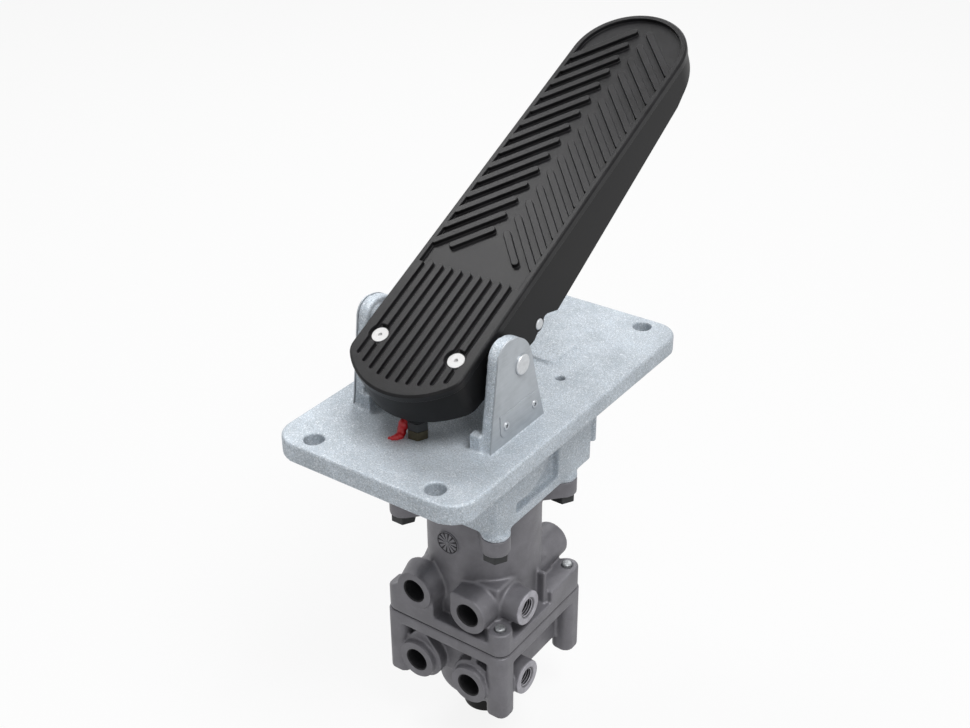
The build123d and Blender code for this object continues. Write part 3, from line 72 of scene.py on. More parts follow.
# The camera stands where the photograph was taken from
CAMERA_PLACE = (0.4659, -0.6620, 0.4860)
CAMERA_AZIMUTH = math.radians(35.37)
CAMERA_ELEVATION = math.radians(29.59)
CAMERA_ROLL = math.radians(-0.44)
SENSOR_MM = 36.0
FOCAL_PIXELS = 1323.3
PHOTO_WIDTH = 970
LENS_MM = FOCAL_PIXELS / PHOTO_WIDTH * SENSOR_MM


def make_camera():
    """A camera at the photograph's place, angle and focal length."""
    data = bpy.data.cameras.new("camera")
    data.sensor_width = SENSOR_MM
    data.lens = LENS_MM
    data.clip_start = 0.01
    data.clip_end = 50.0
    camera = bpy.data.objects.new("camera", data)
    bpy.context.scene.collection.objects.link(camera)
    back = Vector((
        math.sin(CAMERA_AZIMUTH) * math.cos(CAMERA_ELEVATION),
        -math.cos(CAMERA_AZIMUTH) * math.cos(CAMERA_ELEVATION),
        math.sin(CAMERA_ELEVATION),
    ))
    right = Vector((0, 0, 1)).cross(back).normalized()
    up = back.cross(right)
    turned_right = right * math.cos(CAMERA_ROLL) + up * math.sin(CAMERA_ROLL)
    turned_up = up * math.cos(CAMERA_ROLL) - right * math.sin(CAMERA_ROLL)
    turn = Matrix((turned_right, turned_up, back)).transposed().to_4x4()
    camera.matrix_world = Matrix.Translation(CAMERA_PLACE) @ turn
    bpy.context.scene.camera = camera


make_camera()


# Materials
class Field:
    """A value that changes over a surface; Python's operators add Math nodes."""

    def __init__(self, finish, socket):
        self.finish = finish
        self.socket = socket

    def math(self, operation, *values):
        sockets = dict(enumerate(values))
        return self.finish.node("ShaderNodeMath", {"operation": operation}, sockets)

    def __add__(self, other):
        return self.math("ADD", self, other)

    def __radd__(self, other):
        return self.math("ADD", other, self)

    def __sub__(self, other):
        return self.math("SUBTRACT", self, other)

    def __rsub__(self, other):
        return self.math("SUBTRACT", other, self)

    def __mul__(self, other):
        return self.math("MULTIPLY", self, other)

    def __rmul__(self, other):
        return self.math("MULTIPLY", other, self)

    def clamped(self):
        return self.math("MAXIMUM", self.math("MINIMUM", self, 1.0), 0.0)

    def between(self, low, high):
        """0 below low, 1 above high, and smooth in between."""
        settings = {"interpolation_type": "SMOOTHSTEP"}
        sockets = {0: self, 1: low, 2: high, 3: 0.0, 4: 1.0}
        return self.finish.node("ShaderNodeMapRange", settings, sockets)


class Finish:
    """One procedural material, read in the part's own coordinates."""

    def __init__(self, name, metallic=0.0):
        self.material = bpy.data.materials.new(name)
        self.material.use_nodes = True
        self.tree = self.material.node_tree
        self.shader = self.tree.nodes["Principled BSDF"]
        self.shader.inputs["Metallic"].default_value = metallic
        self.place = self.node("ShaderNodeTexCoord", {}, {}, "Object")

    def node(self, kind, settings, sockets, output=0):
        made = self.tree.nodes.new(kind)
        for name, value in settings.items():
            setattr(made, name, value)
        for key, value in sockets.items():
            if isinstance(value, Field):
                self.tree.links.new(value.socket, made.inputs[key])
            else:
                made.inputs[key].default_value = value
        return Field(self, made.outputs[output])

    def stretched(self, scale):
        return self.node("ShaderNodeMapping", {}, {"Vector": self.place, "Scale": scale})

    def noise(self, size, detail=3.0, rough=0.55, place=None):
        """Soft noise from 0 to 1 whose blotches measure about size metres."""
        where = place or self.place
        sockets = {"Vector": where, "Scale": 1 / size, "Detail": detail, "Roughness": rough}
        return self.node("ShaderNodeTexNoise", {}, sockets)

    def cell_colours(self, size):
        """Cells of about size metres, each with a colour of its own."""
        sockets = {"Vector": self.place, "Scale": 1 / size}
        return self.node("ShaderNodeTexVoronoi", {"feature": "F1"}, sockets, "Color")

    def mix(self, factor, first, second):
        """Colour that goes from first to second with factor."""
        sockets = {0: factor, 6: first, 7: second}
        return self.node("ShaderNodeMix", {"data_type": "RGBA"}, sockets, 2)

    def set(self, name, value):
        if isinstance(value, Field):
            self.tree.links.new(value.socket, self.shader.inputs[name])
        else:
            self.shader.inputs[name].default_value = value

    def bump(self, height, depth, strength=1.0):
        """Raise the surface by height times depth metres."""
        sockets = {"Height": height, "Distance": depth, "Strength": strength}
        self.set("Normal", self.node("ShaderNodeBump", {}, sockets))


def grey(value, blue=0.0):
    """A grey in linear light; blue leans it a little to blue, or to brown below zero."""
    return (value * (1 - blue), value, value * (1 + blue), 1.0)


def plum(value):
    """A grey in linear light with the faint violet of the valve's castings."""
    return (value * 1.0, value * 0.98, value * 1.07, 1.0)


def rough_casting():
    """Light sparkling cast aluminium with a coarse skin."""
    f = Finish("rough_casting", metallic=0.4)
    grain = f.noise(0.9 * MM, 4.0, 0.75)
    lumps = f.noise(4.0 * MM, 2.0, 0.5)
    clouds = f.noise(34 * MM, 3.0, 0.6)
    streaks = f.noise(9 * MM, 4.0, 0.65)
    cells = f.cell_colours(0.7 * MM)
    spark = f.node("ShaderNodeSeparateColor", {}, {0: cells}).between(0.72, 1.0)
    colour = f.mix(clouds.between(0.3, 0.7), grey(0.46, 0.11), grey(0.62, 0.10))
    colour = f.mix(streaks.between(0.35, 0.65) * 0.4, colour, grey(0.52, 0.08))
    colour = f.mix((grain.between(0.36, 0.56) * -0.7 + 0.7).clamped(), colour, grey(0.24, 0.08))
    colour = f.mix(spark * 0.45, colour, grey(0.88, 0.03))
    f.set("Base Color", colour)
    f.set("Roughness", 0.56 - spark * 0.2 + grain * 0.08)
    f.bump(grain * 1.1 + lumps * 0.7, 0.4 * MM, 1.0)
    return f.material


def satin_casting():
    """Darker die-cast aluminium with a fine even skin."""
    f = Finish("satin_casting", metallic=0.35)
    grain = f.noise(0.5 * MM, 3.0, 0.6)
    clouds = f.noise(22 * MM, 3.0, 0.6)
    stains = f.noise(7 * MM, 4.0, 0.65)
    colour = f.mix(clouds.between(0.3, 0.7), plum(0.145), plum(0.19))
    colour = f.mix(stains.between(0.5, 0.8) * 0.4, colour, plum(0.24))
    colour = f.mix(grain.between(0.3, 0.7) * -0.35 + 0.35, colour, plum(0.10))
    f.set("Base Color", colour)
    f.set("Roughness", 0.42 + grain * 0.14)
    f.bump(grain + stains * 0.8, 0.14 * MM, 0.7)
    return f.material


def machined_face():
    """The same alloy where a tool has faced and threaded it."""
    f = Finish("machined_face", metallic=0.55)
    marks = f.noise(0.35 * MM, 2.0, 0.5)
    clouds = f.noise(6 * MM, 3.0, 0.6)
    colour = f.mix(clouds.between(0.3, 0.7), plum(0.30), plum(0.42))
    f.set("Base Color", f.mix(marks.between(0.35, 0.7) * 0.3, colour, plum(0.2)))
    f.set("Roughness", 0.34 + marks * 0.15)
    f.bump(marks, 0.05 * MM, 0.6)
    return f.material


def painted_shade_metal():
    """Near-black metal: painted shade inside the ports and on the dial's sunk ground."""
    f = Finish("painted_shade_metal")
    grain = f.noise(0.8 * MM, 3.0, 0.6)
    clouds = f.noise(5 * MM, 3.0, 0.6)
    # Near-black colour painted as the shade inside the ports and in the dial's sunk ground.
    f.set("Base Color", f.mix(clouds, plum(0.012), plum(0.035)))
    f.set("Roughness", 0.42 + grain * 0.2)
    f.set("Specular IOR Level", 0.2)
    f.bump(grain, 0.08 * MM, 0.6)
    return f.material


def grey_gasket():
    """Grey fibre sheet between the two castings."""
    f = Finish("grey_gasket")
    fibres = f.noise(0.6 * MM, 4.0, 0.7)
    f.set("Base Color", f.mix(fibres, plum(0.07), plum(0.14)))
    f.set("Roughness", 0.6 + fibres * 0.2)
    f.bump(fibres, 0.05 * MM, 0.5)
    return f.material


def worn_zinc():
    """Dull zinc on the socket screws, paler where a key has rubbed."""
    f = Finish("worn_zinc", metallic=0.6)
    clouds = f.noise(1.6 * MM, 3.0, 0.6)
    colour = f.mix(clouds.between(0.35, 0.7), grey(0.22, 0.03), grey(0.42, 0.03))
    f.set("Base Color", colour)
    f.set("Roughness", 0.3 + clouds * 0.2)
    f.bump(clouds, 0.03 * MM, 0.5)
    return f.material


def pale_zinc():
    """Pale matt zinc on the pad's screws and their washers."""
    f = Finish("pale_zinc", metallic=0.2)
    clouds = f.noise(1.8 * MM, 3.0, 0.6)
    f.set("Base Color", f.mix(clouds, grey(0.5), grey(0.66)))
    f.set("Roughness", 0.5 + clouds * 0.15)
    f.bump(clouds, 0.04 * MM, 0.5)
    return f.material


def rolled_sheet():
    """Smooth zinc-grey sheet."""
    f = Finish("rolled_sheet", metallic=0.35)
    lines = f.noise(1.2 * MM, 2.0, 0.5, place=f.stretched((1.0, 0.06, 1.0)))
    clouds = f.noise(16 * MM, 3.0, 0.55)
    colour = f.mix(clouds.between(0.3, 0.7), grey(0.36, 0.07), grey(0.44, 0.07))
    f.set("Base Color", f.mix(lines.between(0.35, 0.75) * 0.35, colour, grey(0.50, 0.05)))
    f.set("Roughness", 0.38 + lines * 0.12)
    f.bump(lines, 0.03 * MM, 0.5)
    return f.material


def plated_steel():
    """Bright zinc on turned and pressed steel."""
    f = Finish("plated_steel", metallic=0.85)
    clouds = f.noise(2.5 * MM, 3.0, 0.6)
    colour = f.mix(clouds, grey(0.48, 0.03), grey(0.72, 0.03))
    f.set("Base Color", colour)
    f.set("Roughness", 0.24 + clouds * 0.2)
    f.bump(clouds, 0.02 * MM, 0.4)
    return f.material


def blackened_steel():
    """Matt black coated bolts, worn a little."""
    f = Finish("blackened_steel", metallic=0.3)
    clouds = f.noise(3.0 * MM, 4.0, 0.6)
    wear = f.noise(1.2 * MM, 3.0, 0.7).between(0.62, 0.8)
    colour = f.mix(clouds, grey(0.012, 0.05), grey(0.035, 0.05))
    f.set("Base Color", f.mix(wear * 0.5, colour, grey(0.12, 0.02)))
    f.set("Roughness", 0.42 + clouds * 0.2)
    f.bump(clouds, 0.04 * MM, 0.5)
    return f.material


def olive_plating():
    """Dull olive plating on the stop nut and screw."""
    f = Finish("olive_plating", metallic=0.5)
    clouds = f.noise(2.0 * MM, 4.0, 0.65)
    colour = f.mix(clouds, (0.026, 0.022, 0.012, 1), (0.08, 0.066, 0.034, 1))
    f.set("Base Color", colour)
    f.set("Roughness", 0.32 + clouds * 0.2)
    f.bump(clouds, 0.04 * MM, 0.5)
    return f.material


def moulded_plastic():
    """Black glass-filled plastic with a faint grain."""
    f = Finish("moulded_plastic")
    grain = f.noise(0.5 * MM, 2.0, 0.5)
    clouds = f.noise(30 * MM, 3.0, 0.6)
    f.set("Base Color", f.mix(clouds, plum(0.0035), plum(0.0075)))
    f.set("Roughness", 0.34 + grain * 0.1 + clouds * 0.08)
    f.set("Specular IOR Level", 0.14)
    f.bump(grain, 0.03 * MM, 0.5)
    return f.material


def moulded_rubber():
    """Black rubber, dull, with paler rubbed places."""
    f = Finish("moulded_rubber")
    grain = f.noise(0.6 * MM, 3.0, 0.6)
    clouds = f.noise(24 * MM, 4.0, 0.6)
    colour = f.mix(clouds.between(0.3, 0.7), plum(0.006), plum(0.013))
    f.set("Base Color", f.mix(grain.between(0.5, 0.8) * 0.35, colour, plum(0.032)))
    f.set("Roughness", 0.22 + grain * 0.1 + clouds * 0.12)
    f.set("Specular IOR Level", 0.14)
    f.bump(grain, 0.07 * MM, 0.6)
    return f.material


def bearing_bronze():
    """Plain bronze of the bushes and valve discs."""
    f = Finish("bearing_bronze", metallic=0.85)
    clouds = f.noise(4 * MM, 3.0, 0.6)
    f.set("Base Color", f.mix(clouds, (0.32, 0.2, 0.085, 1), (0.5, 0.34, 0.16, 1)))
    f.set("Roughness", 0.32 + clouds * 0.18)
    f.bump(clouds, 0.02 * MM, 0.4)
    return f.material


def turned_metal():
    """Light turned aluminium with fine rings about the valve's axis."""
    f = Finish("turned_metal", metallic=0.7)
    rings = f.noise(0.4 * MM, 2.0, 0.5, place=f.stretched((0.02, 0.02, 1.0)))
    clouds = f.noise(9 * MM, 3.0, 0.6)
    f.set("Base Color", f.mix(clouds, grey(0.48, 0.02), grey(0.6, 0.02)))
    f.set("Roughness", 0.28 + rings * 0.18)
    f.bump(rings, 0.02 * MM, 0.6)
    return f.material


def spring_wire():
    """Oiled spring steel."""
    f = Finish("spring_wire", metallic=0.8)
    clouds = f.noise(2 * MM, 3.0, 0.6)
    f.set("Base Color", f.mix(clouds, grey(0.2, 0.04), grey(0.36, 0.04)))
    f.set("Roughness", 0.3 + clouds * 0.2)
    f.bump(clouds, 0.02 * MM, 0.4)
    return f.material


def sealing_lacquer():
    """Thick red lacquer, run and set."""
    f = Finish("sealing_lacquer")
    clouds = f.noise(2.5 * MM, 3.0, 0.6)
    f.set("Base Color", f.mix(clouds, (0.34, 0.002, 0.006, 1), (0.56, 0.008, 0.014, 1)))
    f.set("Roughness", 0.3 + clouds * 0.15)
    f.bump(f.noise(1.4 * MM, 2.0, 0.5), 0.3 * MM, 0.8)
    return f.material


FINISHES = {
    "cast_plate": rough_casting(),
    "cast_valve": satin_casting(),
    "cover_plate": rolled_sheet(),
    "bright_steel": plated_steel(),
    "black_steel": blackened_steel(),
    "olive_steel": olive_plating(),
    "black_plastic": moulded_plastic(),
    "black_rubber": moulded_rubber(),
    "bronze": bearing_bronze(),
    "piston_metal": turned_metal(),
    "spring_steel": spring_wire(),
    "red_lacquer": sealing_lacquer(),
    "machined_face": machined_face(),
    "painted_shade_metal": painted_shade_metal(),
    "grey_gasket": grey_gasket(),
    "worn_zinc": worn_zinc(),
    "pale_zinc": pale_zinc(),
}


def dress(piece, finish):
    """Give a piece one finish; most are named like their material slot."""
    piece.data.materials.clear()
    piece.data.materials.append(FINISHES[finish])


SLOT_OF = {row["node"]: row["material_slot"] for row in frame["record"]["subparts"]}
for name, node in nodes.items():
    dress(node, SLOT_OF[name])


# Pieces
MERGE_DISTANCE = 0.002 * MM
SMOOTH_ANGLE = math.radians(32)


def only(piece):
    """Select one object and nothing else."""
    bpy.ops.object.select_all(action="DESELECT")
    piece.select_set(True)
    bpy.context.view_layer.objects.active = piece


def shaped(piece, kind, **settings):
    """Apply one modifier to a piece."""
    only(piece)
    modifier = piece.modifiers.new("shape", kind)
    for name, value in settings.items():
        setattr(modifier, name, value)
    bpy.ops.object.modifier_apply(modifier=modifier.name)


def copied(node_name, piece_name):
    """A piece with the shape of a CAD node, its loose triangles merged."""
    piece = bpy.data.objects.new(piece_name, nodes[node_name].data.copy())
    bpy.context.scene.collection.objects.link(piece)
    only(piece)
    bpy.ops.mesh.customdata_custom_splitnormals_clear()
    bpy.ops.object.mode_set(mode="EDIT")
    bpy.ops.mesh.select_all(action="SELECT")
    bpy.ops.mesh.remove_doubles(threshold=MERGE_DISTANCE)
    bpy.ops.object.mode_set(mode="OBJECT")
    return piece


def settled(piece, body, slot, *replaced, finish=None):
    """Let a finished piece ride on its body, with its finish, in place of CAD nodes."""
    dress(piece, finish or slot)
    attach(piece, body)
    if replaced:
        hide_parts(*replaced)


PIECE_TRIANGLES = 190000
FLAT_ANGLE = math.radians(0.6)
SHARP_ANGLE = math.radians(38)


def cast_skin(node_name, piece_name, voxel, rounds, body, slot):
    """A CAD node with the soft edges and filled corners of a casting."""
    piece = copied(node_name, piece_name)
    shaped(piece, "REMESH", mode="VOXEL", voxel_size=voxel)
    shaped(piece, "SMOOTH", factor=0.5, iterations=rounds)
    triangles = 2 * len(piece.data.polygons)
    shaped(piece, "DECIMATE", ratio=min(1.0, PIECE_TRIANGLES / triangles))
    bpy.ops.object.shade_smooth()
    settled(piece, body, slot, node_name)
    return piece


def softened(node_name, piece_name, width, segments, body, slot, finish=None):
    """A CAD node with a small round on every sharp edge."""
    piece = copied(node_name, piece_name)
    bpy.ops.object.mode_set(mode="EDIT")
    bpy.ops.mesh.select_all(action="SELECT")
    bpy.ops.mesh.dissolve_limited(angle_limit=FLAT_ANGLE)
    bpy.ops.object.mode_set(mode="OBJECT")
    shaped(
        piece, "BEVEL", width=width, segments=segments, limit_method="ANGLE",
        angle_limit=SHARP_ANGLE, use_clamp_overlap=False, harden_normals=False,
    )
    bpy.ops.object.shade_smooth_by_angle(angle=SMOOTH_ANGLE)
    shaped(piece, "WEIGHTED_NORMAL", keep_sharp=True, weight=100)
    settled(piece, body, slot, node_name, finish=finish)
    return piece


def turned(name, place, turn, profile, sides=72):
    """A turned piece: a circle is extruded through radius and height pairs, then placed."""
    radius, height = profile[0]
    bpy.ops.object.select_all(action="DESELECT")
    bpy.ops.mesh.primitive_circle_add(vertices=sides, radius=radius, location=(0, 0, height))
    piece = bpy.context.object
    piece.name = name
    bpy.ops.object.transform_apply()
    bpy.ops.object.mode_set(mode="EDIT")
    bpy.ops.mesh.select_mode(type="VERT")
    bpy.ops.mesh.select_all(action="SELECT")
    for new_radius, new_height in profile[1:]:
        move = {"value": (0, 0, new_height - height)}
        bpy.ops.mesh.extrude_region_move(TRANSFORM_OT_translate=move)
        grow = new_radius / radius
        bpy.ops.transform.resize(value=(grow, grow, 1), center_override=(0, 0, new_height))
        radius, height = new_radius, new_height
    bpy.ops.mesh.select_all(action="SELECT")
    bpy.ops.mesh.remove_doubles(threshold=MERGE_DISTANCE)
    bpy.ops.mesh.normals_make_consistent(inside=False)
    bpy.ops.object.mode_set(mode="OBJECT")
    piece.matrix_world = Matrix.Translation(place) @ turn
    bpy.ops.object.transform_apply()
    bpy.ops.object.shade_smooth_by_angle(angle=SMOOTH_ANGLE)
    return piece


# Castings
cast_skin("upper_valve_body", "upper_valve_casting", 0.85 * MM, 7, "housing", "cast_valve")
cast_skin("lower_valve_body", "lower_valve_casting", 0.85 * MM, 7, "housing", "cast_valve")
cast_skin("mounting_casting", "mounting_skin", 1.1 * MM, 5, "housing", "cast_plate")

# Port faces machined into the castings, and bore linings painted near black as shade
FRONT_TURN = Matrix.Rotation(math.radians(90), 4, "X")
RIGHT_TURN = Matrix.Rotation(math.radians(90), 4, "Y")
PORT_LEVELS = (("upper", -0.145), ("lower", -0.212))
PORT_FACE_Y = -0.065
PORT_X = 0.0244
SIDE_FACE_X = 0.056
SIDE_PORT_Y = -0.0325


def port_rim(face_r, mouth_r):
    """Section of a flat machined face round a port's mouth, in metres."""
    shown = 0.06 * MM
    sunk = -2.4 * MM
    return [
        (face_r, sunk), (face_r, -0.35 * MM), (face_r - 0.35 * MM, shown),
        (mouth_r + 0.3 * MM, shown), (mouth_r, -0.25 * MM), (mouth_r, sunk), (face_r, sunk),
    ]


def bore_lining(mouth_r, bore_r, depth):
    """Section of the lining inside a port, painted dark as the port's shade, in metres."""
    outer = mouth_r + 0.4 * MM
    top = -0.3 * MM
    end = -depth - 0.4 * MM
    return [
        (outer, top), (mouth_r - 0.05 * MM, top), (bore_r, -1.1 * MM), (bore_r, -depth),
        (0.5 * MM, -depth), (0.5 * MM, end), (outer, end), (outer, top),
    ]


def thread_crest(crest_r, height):
    """Section of one thread crest, in metres."""
    root = crest_r + 0.7 * MM
    return [
        (root, height - 0.5 * MM), (crest_r, height - 0.12 * MM), (crest_r, height + 0.12 * MM),
        (root, height + 0.5 * MM), (root, height - 0.5 * MM),
    ]


def joined(parts, name):
    """Several pieces made one."""
    bpy.ops.object.select_all(action="DESELECT")
    for part in parts:
        part.select_set(True)
    bpy.context.view_layer.objects.active = parts[0]
    bpy.ops.object.join()
    parts[0].name = name
    return parts[0]


def dressed_port(name, place, turn, port, rim_finish=None):
    """A machined face at one port, and a bore lining painted near black as shade."""
    rim = turned(f"{name}_face", place, turn, port_rim(port["face_r"], port["mouth_r"]))
    settled(rim, "housing", "cast_valve", finish=rim_finish)
    # The bore lining is painted near black as the shade deep in the port.
    section = bore_lining(port["mouth_r"], port["bore_r"], port["depth"])
    lining = turned(f"{name}_bore", place, turn, section)
    settled(lining, "housing", "cast_valve", finish="painted_shade_metal")


FRONT_PORT = {"face_r": 15.35 * MM, "mouth_r": 9.6 * MM, "bore_r": 8.85 * MM, "depth": 15 * MM}
SIDE_PORT = {"face_r": 13.35 * MM, "mouth_r": 8.5 * MM, "bore_r": 7.1 * MM, "depth": 12.5 * MM}
CREST_R = 6.5 * MM
THREAD_START = 1.5 * MM
THREAD_PITCH = 1.9 * MM
THREAD_TURNS = 6
for level, z in PORT_LEVELS:
    for side, x in (("left", -PORT_X), ("right", PORT_X)):
        dressed_port(f"{level}_{side}_port", (x, PORT_FACE_Y, z), FRONT_TURN, FRONT_PORT)
    place = (SIDE_FACE_X, SIDE_PORT_Y, z)
    dressed_port(f"{level}_side_port", place, RIGHT_TURN, SIDE_PORT, "machined_face")
    crests = []
    for count in range(THREAD_TURNS):
        section = thread_crest(CREST_R, -THREAD_START - THREAD_PITCH * count)
        crests.append(turned("crest", place, RIGHT_TURN, section))
    settled(joined(crests, f"{level}_side_port_thread"), "housing", "cast_valve", finish="machined_face")

# Bright machined pads under the four corner posts
POST_X = 0.0455
POST_FRONT_Y = -0.0535
POST_REAR_Y = 0.0375
POST_FOOT_Z = -0.234
FOOT_PAD = (
    (0.1 * MM, 0.6 * MM), (5.6 * MM, 0.6 * MM), (5.6 * MM, -1.0 * MM), (5.2 * MM, -1.4 * MM),
    (0.1 * MM, -1.4 * MM), (0.1 * MM, 0.6 * MM),
)
pads = [
    turned("pad", (x, y, POST_FOOT_Z), Matrix.Identity(4), FOOT_PAD, 32)
    for x in (-POST_X, POST_X) for y in (POST_FRONT_Y, POST_REAR_Y)
]
settled(joined(pads, "post_foot_pads"), "housing", "cast_valve", finish="machined_face")

# The date dial: a sunk ground painted dark as shade, a thin rim and twelve tapered marks
DIAL_CENTRE = (-0.0015, -0.0518, -0.0985)
DIAL_MARKS = 12
FIRST_MARK_DEGREES = 8
MARK_IN = 1.6 * MM
MARK_OUT = 8.0 * MM
MARK_WIDTH = 0.75 * MM
MARK_HEIGHT = 0.6 * MM
MARK_TAPER = 3.4
HUB_SIDES = 32
dial_turn = Matrix.Translation(DIAL_CENTRE) @ FRONT_TURN


def dial_mark(angle):
    """One raised mark, wider at its outer end."""
    bpy.ops.object.select_all(action="DESELECT")
    bpy.ops.mesh.primitive_cube_add(
        size=1, location=((MARK_IN + MARK_OUT) / 2, 0, MARK_HEIGHT / 2),
        scale=(MARK_OUT - MARK_IN, MARK_WIDTH, MARK_HEIGHT),
    )
    mark = bpy.context.object
    bpy.ops.object.transform_apply()
    bpy.ops.object.mode_set(mode="EDIT")
    bpy.ops.mesh.select_mode(type="FACE")
    bpy.ops.mesh.select_all(action="DESELECT")
    bpy.ops.object.mode_set(mode="OBJECT")
    for face in mark.data.polygons:
        face.select = face.normal.x > 0.9
    bpy.ops.object.mode_set(mode="EDIT")
    bpy.ops.transform.resize(value=(1, MARK_TAPER, 1), center_override=(MARK_OUT, 0, 0))
    bpy.ops.object.mode_set(mode="OBJECT")
    shaped(mark, "BEVEL", width=0.15 * MM, segments=2, limit_method="ANGLE")
    mark.matrix_world = dial_turn @ Matrix.Rotation(angle, 4, "Z")
    bpy.ops.object.transform_apply()
    return mark


GROUND_SECTION = (
    (0.1 * MM, -0.3 * MM), (8.9 * MM, -0.3 * MM), (8.9 * MM, 0.08 * MM),
    (0.1 * MM, 0.08 * MM), (0.1 * MM, -0.3 * MM),
)
RIM_SECTION = (
    (8.7 * MM, -0.4 * MM), (9.5 * MM, -0.4 * MM), (9.4 * MM, 0.5 * MM),
    (8.9 * MM, 0.5 * MM), (8.7 * MM, -0.4 * MM),
)
HUB_SECTION = (
    (0.1 * MM, 0), (1.5 * MM, 0), (1.4 * MM, 0.7 * MM), (0.1 * MM, 0.7 * MM), (0.1 * MM, 0),
)
# The sunk ground is painted near black as the shade between the marks.
ground = turned("date_dial_ground", DIAL_CENTRE, FRONT_TURN, GROUND_SECTION)
settled(ground, "housing", "cast_valve", finish="painted_shade_metal")
dial_pieces = [
    turned("rim", DIAL_CENTRE, FRONT_TURN, RIM_SECTION),
    turned("hub", DIAL_CENTRE, FRONT_TURN, HUB_SECTION, HUB_SIDES),
]
for count in range(DIAL_MARKS):
    degrees = 360 / DIAL_MARKS * count + FIRST_MARK_DEGREES
    dial_pieces.append(dial_mark(math.radians(degrees)))
settled(joined(dial_pieces, "date_dial"), "housing", "cast_valve")

# The gasket between the two castings shows only as a thin grey line
dress(nodes["body_gasket"], "grey_gasket")

# Treadle, pad and the smaller pieces, with worn round edges
SOFT_EDGED = (
    ("tread_pad", "tread_rubber", 0.45, 3, "pedal", "black_rubber", None),
    ("treadle_body", "treadle_shell", 0.7, 3, "pedal", "black_plastic", None),
    ("pad_screws", "pad_screw_washers", 0.22, 2, "pedal", "bright_steel", "pale_zinc"),
    ("stop_buffer", "buffer_rubber", 0.4, 2, "pedal", "black_rubber", None),
    ("stop_screw", "stop_screw_head", 0.4, 2, "housing", "black_steel", None),
    ("stop_nut", "stop_nut_hexagon", 0.4, 2, "housing", "olive_steel", None),
    ("flange_bolts", "flange_bolt_heads", 0.5, 2, "housing", "black_steel", None),
    ("body_screws", "body_screw_heads", 0.4, 2, "housing", "bright_steel", "worn_zinc"),
    ("exhaust_silencer", "exhaust_shell", 0.6, 2, "housing", "black_plastic", None),
)
for node_name, piece_name, width_mm, segments, body, slot, finish in SOFT_EDGED:
    softened(node_name, piece_name, width_mm * MM, segments, body, slot, finish)

# Red lacquer that ran down the stop screw's left side and set on the plate
LACQUER_LOBES_MM = (
    (-4.8, -91.2, 22.2, 4.0), (-3.6, -90.4, 24.6, 2.6), (-5.6, -92.6, 19.4, 3.2),
    (-5.2, -94.0, 17.0, 3.2), (-4.8, -96.2, 15.6, 3.0), (-5.6, -98.6, 15.2, 2.6),
    (-7.2, -100.6, 14.9, 2.0), (-9.6, -101.4, 14.6, 1.3),
)
lobes = []
for x, y, z, radius in LACQUER_LOBES_MM:
    place = (x * MM, y * MM, z * MM)
    bpy.ops.object.select_all(action="DESELECT")
    bpy.ops.mesh.primitive_uv_sphere_add(
        segments=20, ring_count=12, radius=radius * MM, location=place,
    )
    bpy.ops.object.transform_apply()
    lobes.append(bpy.context.object)
lacquer = joined(lobes, "lacquer_run")
shaped(lacquer, "REMESH", mode="VOXEL", voxel_size=0.4 * MM)
shaped(lacquer, "SMOOTH", factor=0.6, iterations=5)
bpy.ops.object.shade_smooth()
settled(lacquer, "housing", "red_lacquer", "seal_lacquer")

# Folded rubber boot, in place of the CAD boot
boot_low, boot_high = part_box("tappet_boot")
BOOT_FOLDS = 4
BOOT_STEPS = 8
BOOT_WALL = 1.5 * MM
FOLD_SWING = 2.0 * MM
boot_crest = (boot_high.x - boot_low.x) / 2
boot_centre = (boot_low + boot_high) / 2
boot_height = boot_high.z - boot_low.z
step_count = BOOT_FOLDS * BOOT_STEPS
outer_wall = []
for step in range(step_count + 1):
    phase = 2 * math.pi * step / BOOT_STEPS
    radius = boot_crest - FOLD_SWING * (1 + math.cos(phase))
    outer_wall.append((radius, boot_height * step / step_count))
inner_wall = [(radius - BOOT_WALL, height) for radius, height in reversed(outer_wall)]
boot = turned(
    "boot_folds", (boot_centre.x, boot_centre.y, boot_low.z), Matrix.Identity(4),
    outer_wall + inner_wall + outer_wall[:1],
)
settled(boot, "housing", "black_rubber", "tappet_boot")
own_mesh(boot)

# Springs, and the rubber block under the tappet, as smooth-shaded copies that ride on their bodies
PRESSED_SMOOTH_ANGLE = math.radians(40)
PRESSED_PIECES = (
    ("primary_return_spring", "housing", "spring_steel", "primary_piston_slide", 6.3 * MM),
    ("primary_valve_spring", "housing", "spring_steel", "primary_valve_slide", 4.5 * MM),
    ("secondary_return_spring", "housing", "spring_steel", "secondary_piston_slide", 5.3 * MM),
    ("secondary_valve_spring", "housing", "spring_steel", "secondary_valve_slide", 3.5 * MM),
    ("graduating_block", "primary_piston", "black_rubber", "tappet_slide", 7.3 * MM),
)
for node_name, body, slot, joint, shortening in PRESSED_PIECES:
    pressed = copied(node_name, f"{node_name}_pressed")
    bpy.ops.object.shade_smooth_by_angle(angle=PRESSED_SMOOTH_ANGLE)
    settled(pressed, body, slot, node_name)
    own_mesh(pressed)


# Floor, backdrop and lights
FLOOR_Z = cad_low.z - 0.0005
FLOOR_SPAN = 12.0
FLOOR_GLOW = 0.88
SURROUND_LIGHT = 0.38
WHITE = (1.0, 1.0, 1.0, 1.0)


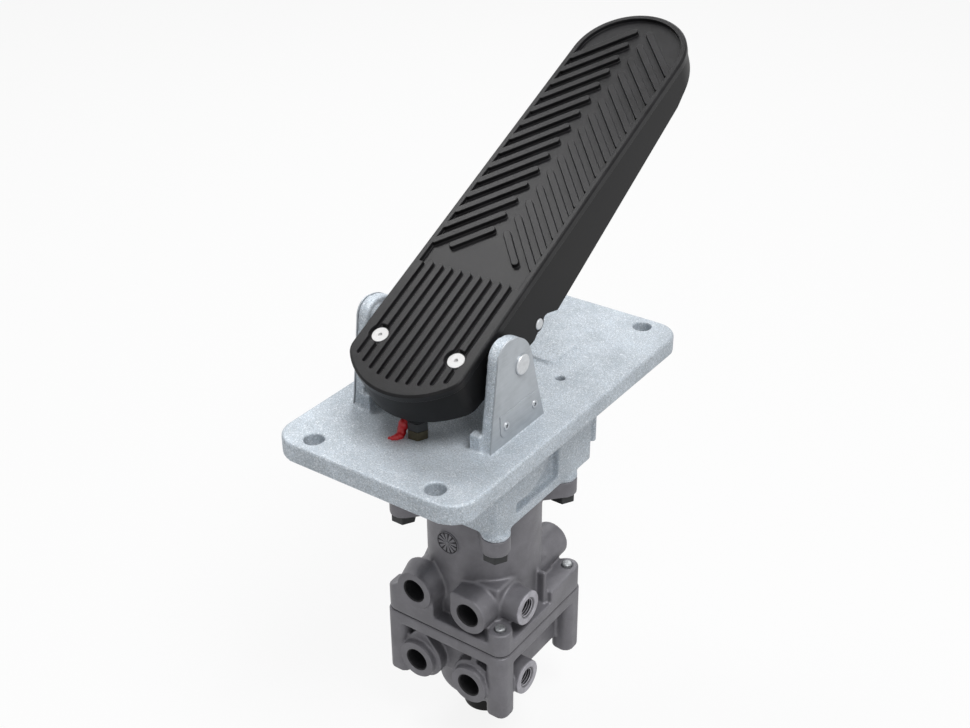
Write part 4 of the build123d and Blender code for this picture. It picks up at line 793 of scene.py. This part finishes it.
def make_floor():
    """A plain pale floor that keeps the object's soft shadow."""
    bpy.ops.mesh.primitive_plane_add(size=FLOOR_SPAN, location=(0, 0, FLOOR_Z))
    floor = bpy.context.object
    floor.name = "floor"
    f = Finish("pale_floor")
    f.set("Base Color", (0.65, 0.65, 0.65, 1.0))
    f.set("Roughness", 0.9)
    seen = f.node("ShaderNodeLightPath", {}, {}, "Is Camera Ray")
    mirrored = f.node("ShaderNodeLightPath", {}, {}, "Is Glossy Ray")
    through = f.node("ShaderNodeLightPath", {}, {}, "Is Transmission Ray")
    glow = f.node("ShaderNodeEmission", {}, {"Color": WHITE, "Strength": 1.0})
    plain = Field(f, f.shader.outputs[0])
    shown = (seen + mirrored + through).clamped()
    mixed = f.node("ShaderNodeMixShader", {}, {0: shown * FLOOR_GLOW, 1: plain, 2: glow})
    f.tree.links.new(mixed.socket, f.tree.nodes["Material Output"].inputs["Surface"])
    floor.data.materials.append(f.material)


def area_light(name, place, aim, size, watts):
    """A soft square lamp that looks at a point."""
    data = bpy.data.lights.new(name, "AREA")
    data.size = size
    data.energy = watts
    lamp = bpy.data.objects.new(name, data)
    bpy.context.scene.collection.objects.link(lamp)
    lamp.location = place
    lamp.rotation_euler = (Vector(place) - Vector(aim)).to_track_quat("Z", "Y").to_euler()


def make_world():
    """An even pale surround that looks white to the camera and in reflections."""
    world = bpy.data.worlds.new("surround")
    bpy.context.scene.world = world
    world.use_nodes = True
    tree = world.node_tree
    lit = tree.nodes["Background"]
    lit.inputs["Color"].default_value = WHITE
    lit.inputs["Strength"].default_value = SURROUND_LIGHT
    seen = tree.nodes.new("ShaderNodeBackground")
    seen.inputs["Color"].default_value = WHITE
    seen.inputs["Strength"].default_value = 1.0
    path = tree.nodes.new("ShaderNodeLightPath")
    shown = path.outputs["Is Camera Ray"]
    for ray in ("Is Glossy Ray", "Is Transmission Ray"):
        either = tree.nodes.new("ShaderNodeMath")
        either.operation = "MAXIMUM"
        tree.links.new(shown, either.inputs[0])
        tree.links.new(path.outputs[ray], either.inputs[1])
        shown = either.outputs[0]
    blend = tree.nodes.new("ShaderNodeMixShader")
    tree.links.new(shown, blend.inputs[0])
    tree.links.new(lit.outputs[0], blend.inputs[1])
    tree.links.new(seen.outputs[0], blend.inputs[2])
    tree.links.new(blend.outputs[0], tree.nodes["World Output"].inputs["Surface"])


AIM = (0.0, 0.0, -0.05)
LOW_AIM = (0.0, 0.0, -0.15)
make_floor()
make_world()
area_light("key", (-1.08, 0.22, 1.89), AIM, size=0.6, watts=13.5)
area_light("front", (0.8, -1.9, 0.1), LOW_AIM, size=0.8, watts=1.2)
area_light("top_right", (1.0, -0.3, 1.9), AIM, size=1.0, watts=38.0)
area_light("back", (-0.9, 1.6, 1.4), AIM, size=1.0, watts=14.0)

scene = bpy.context.scene
scene.view_settings.view_transform = "Standard"
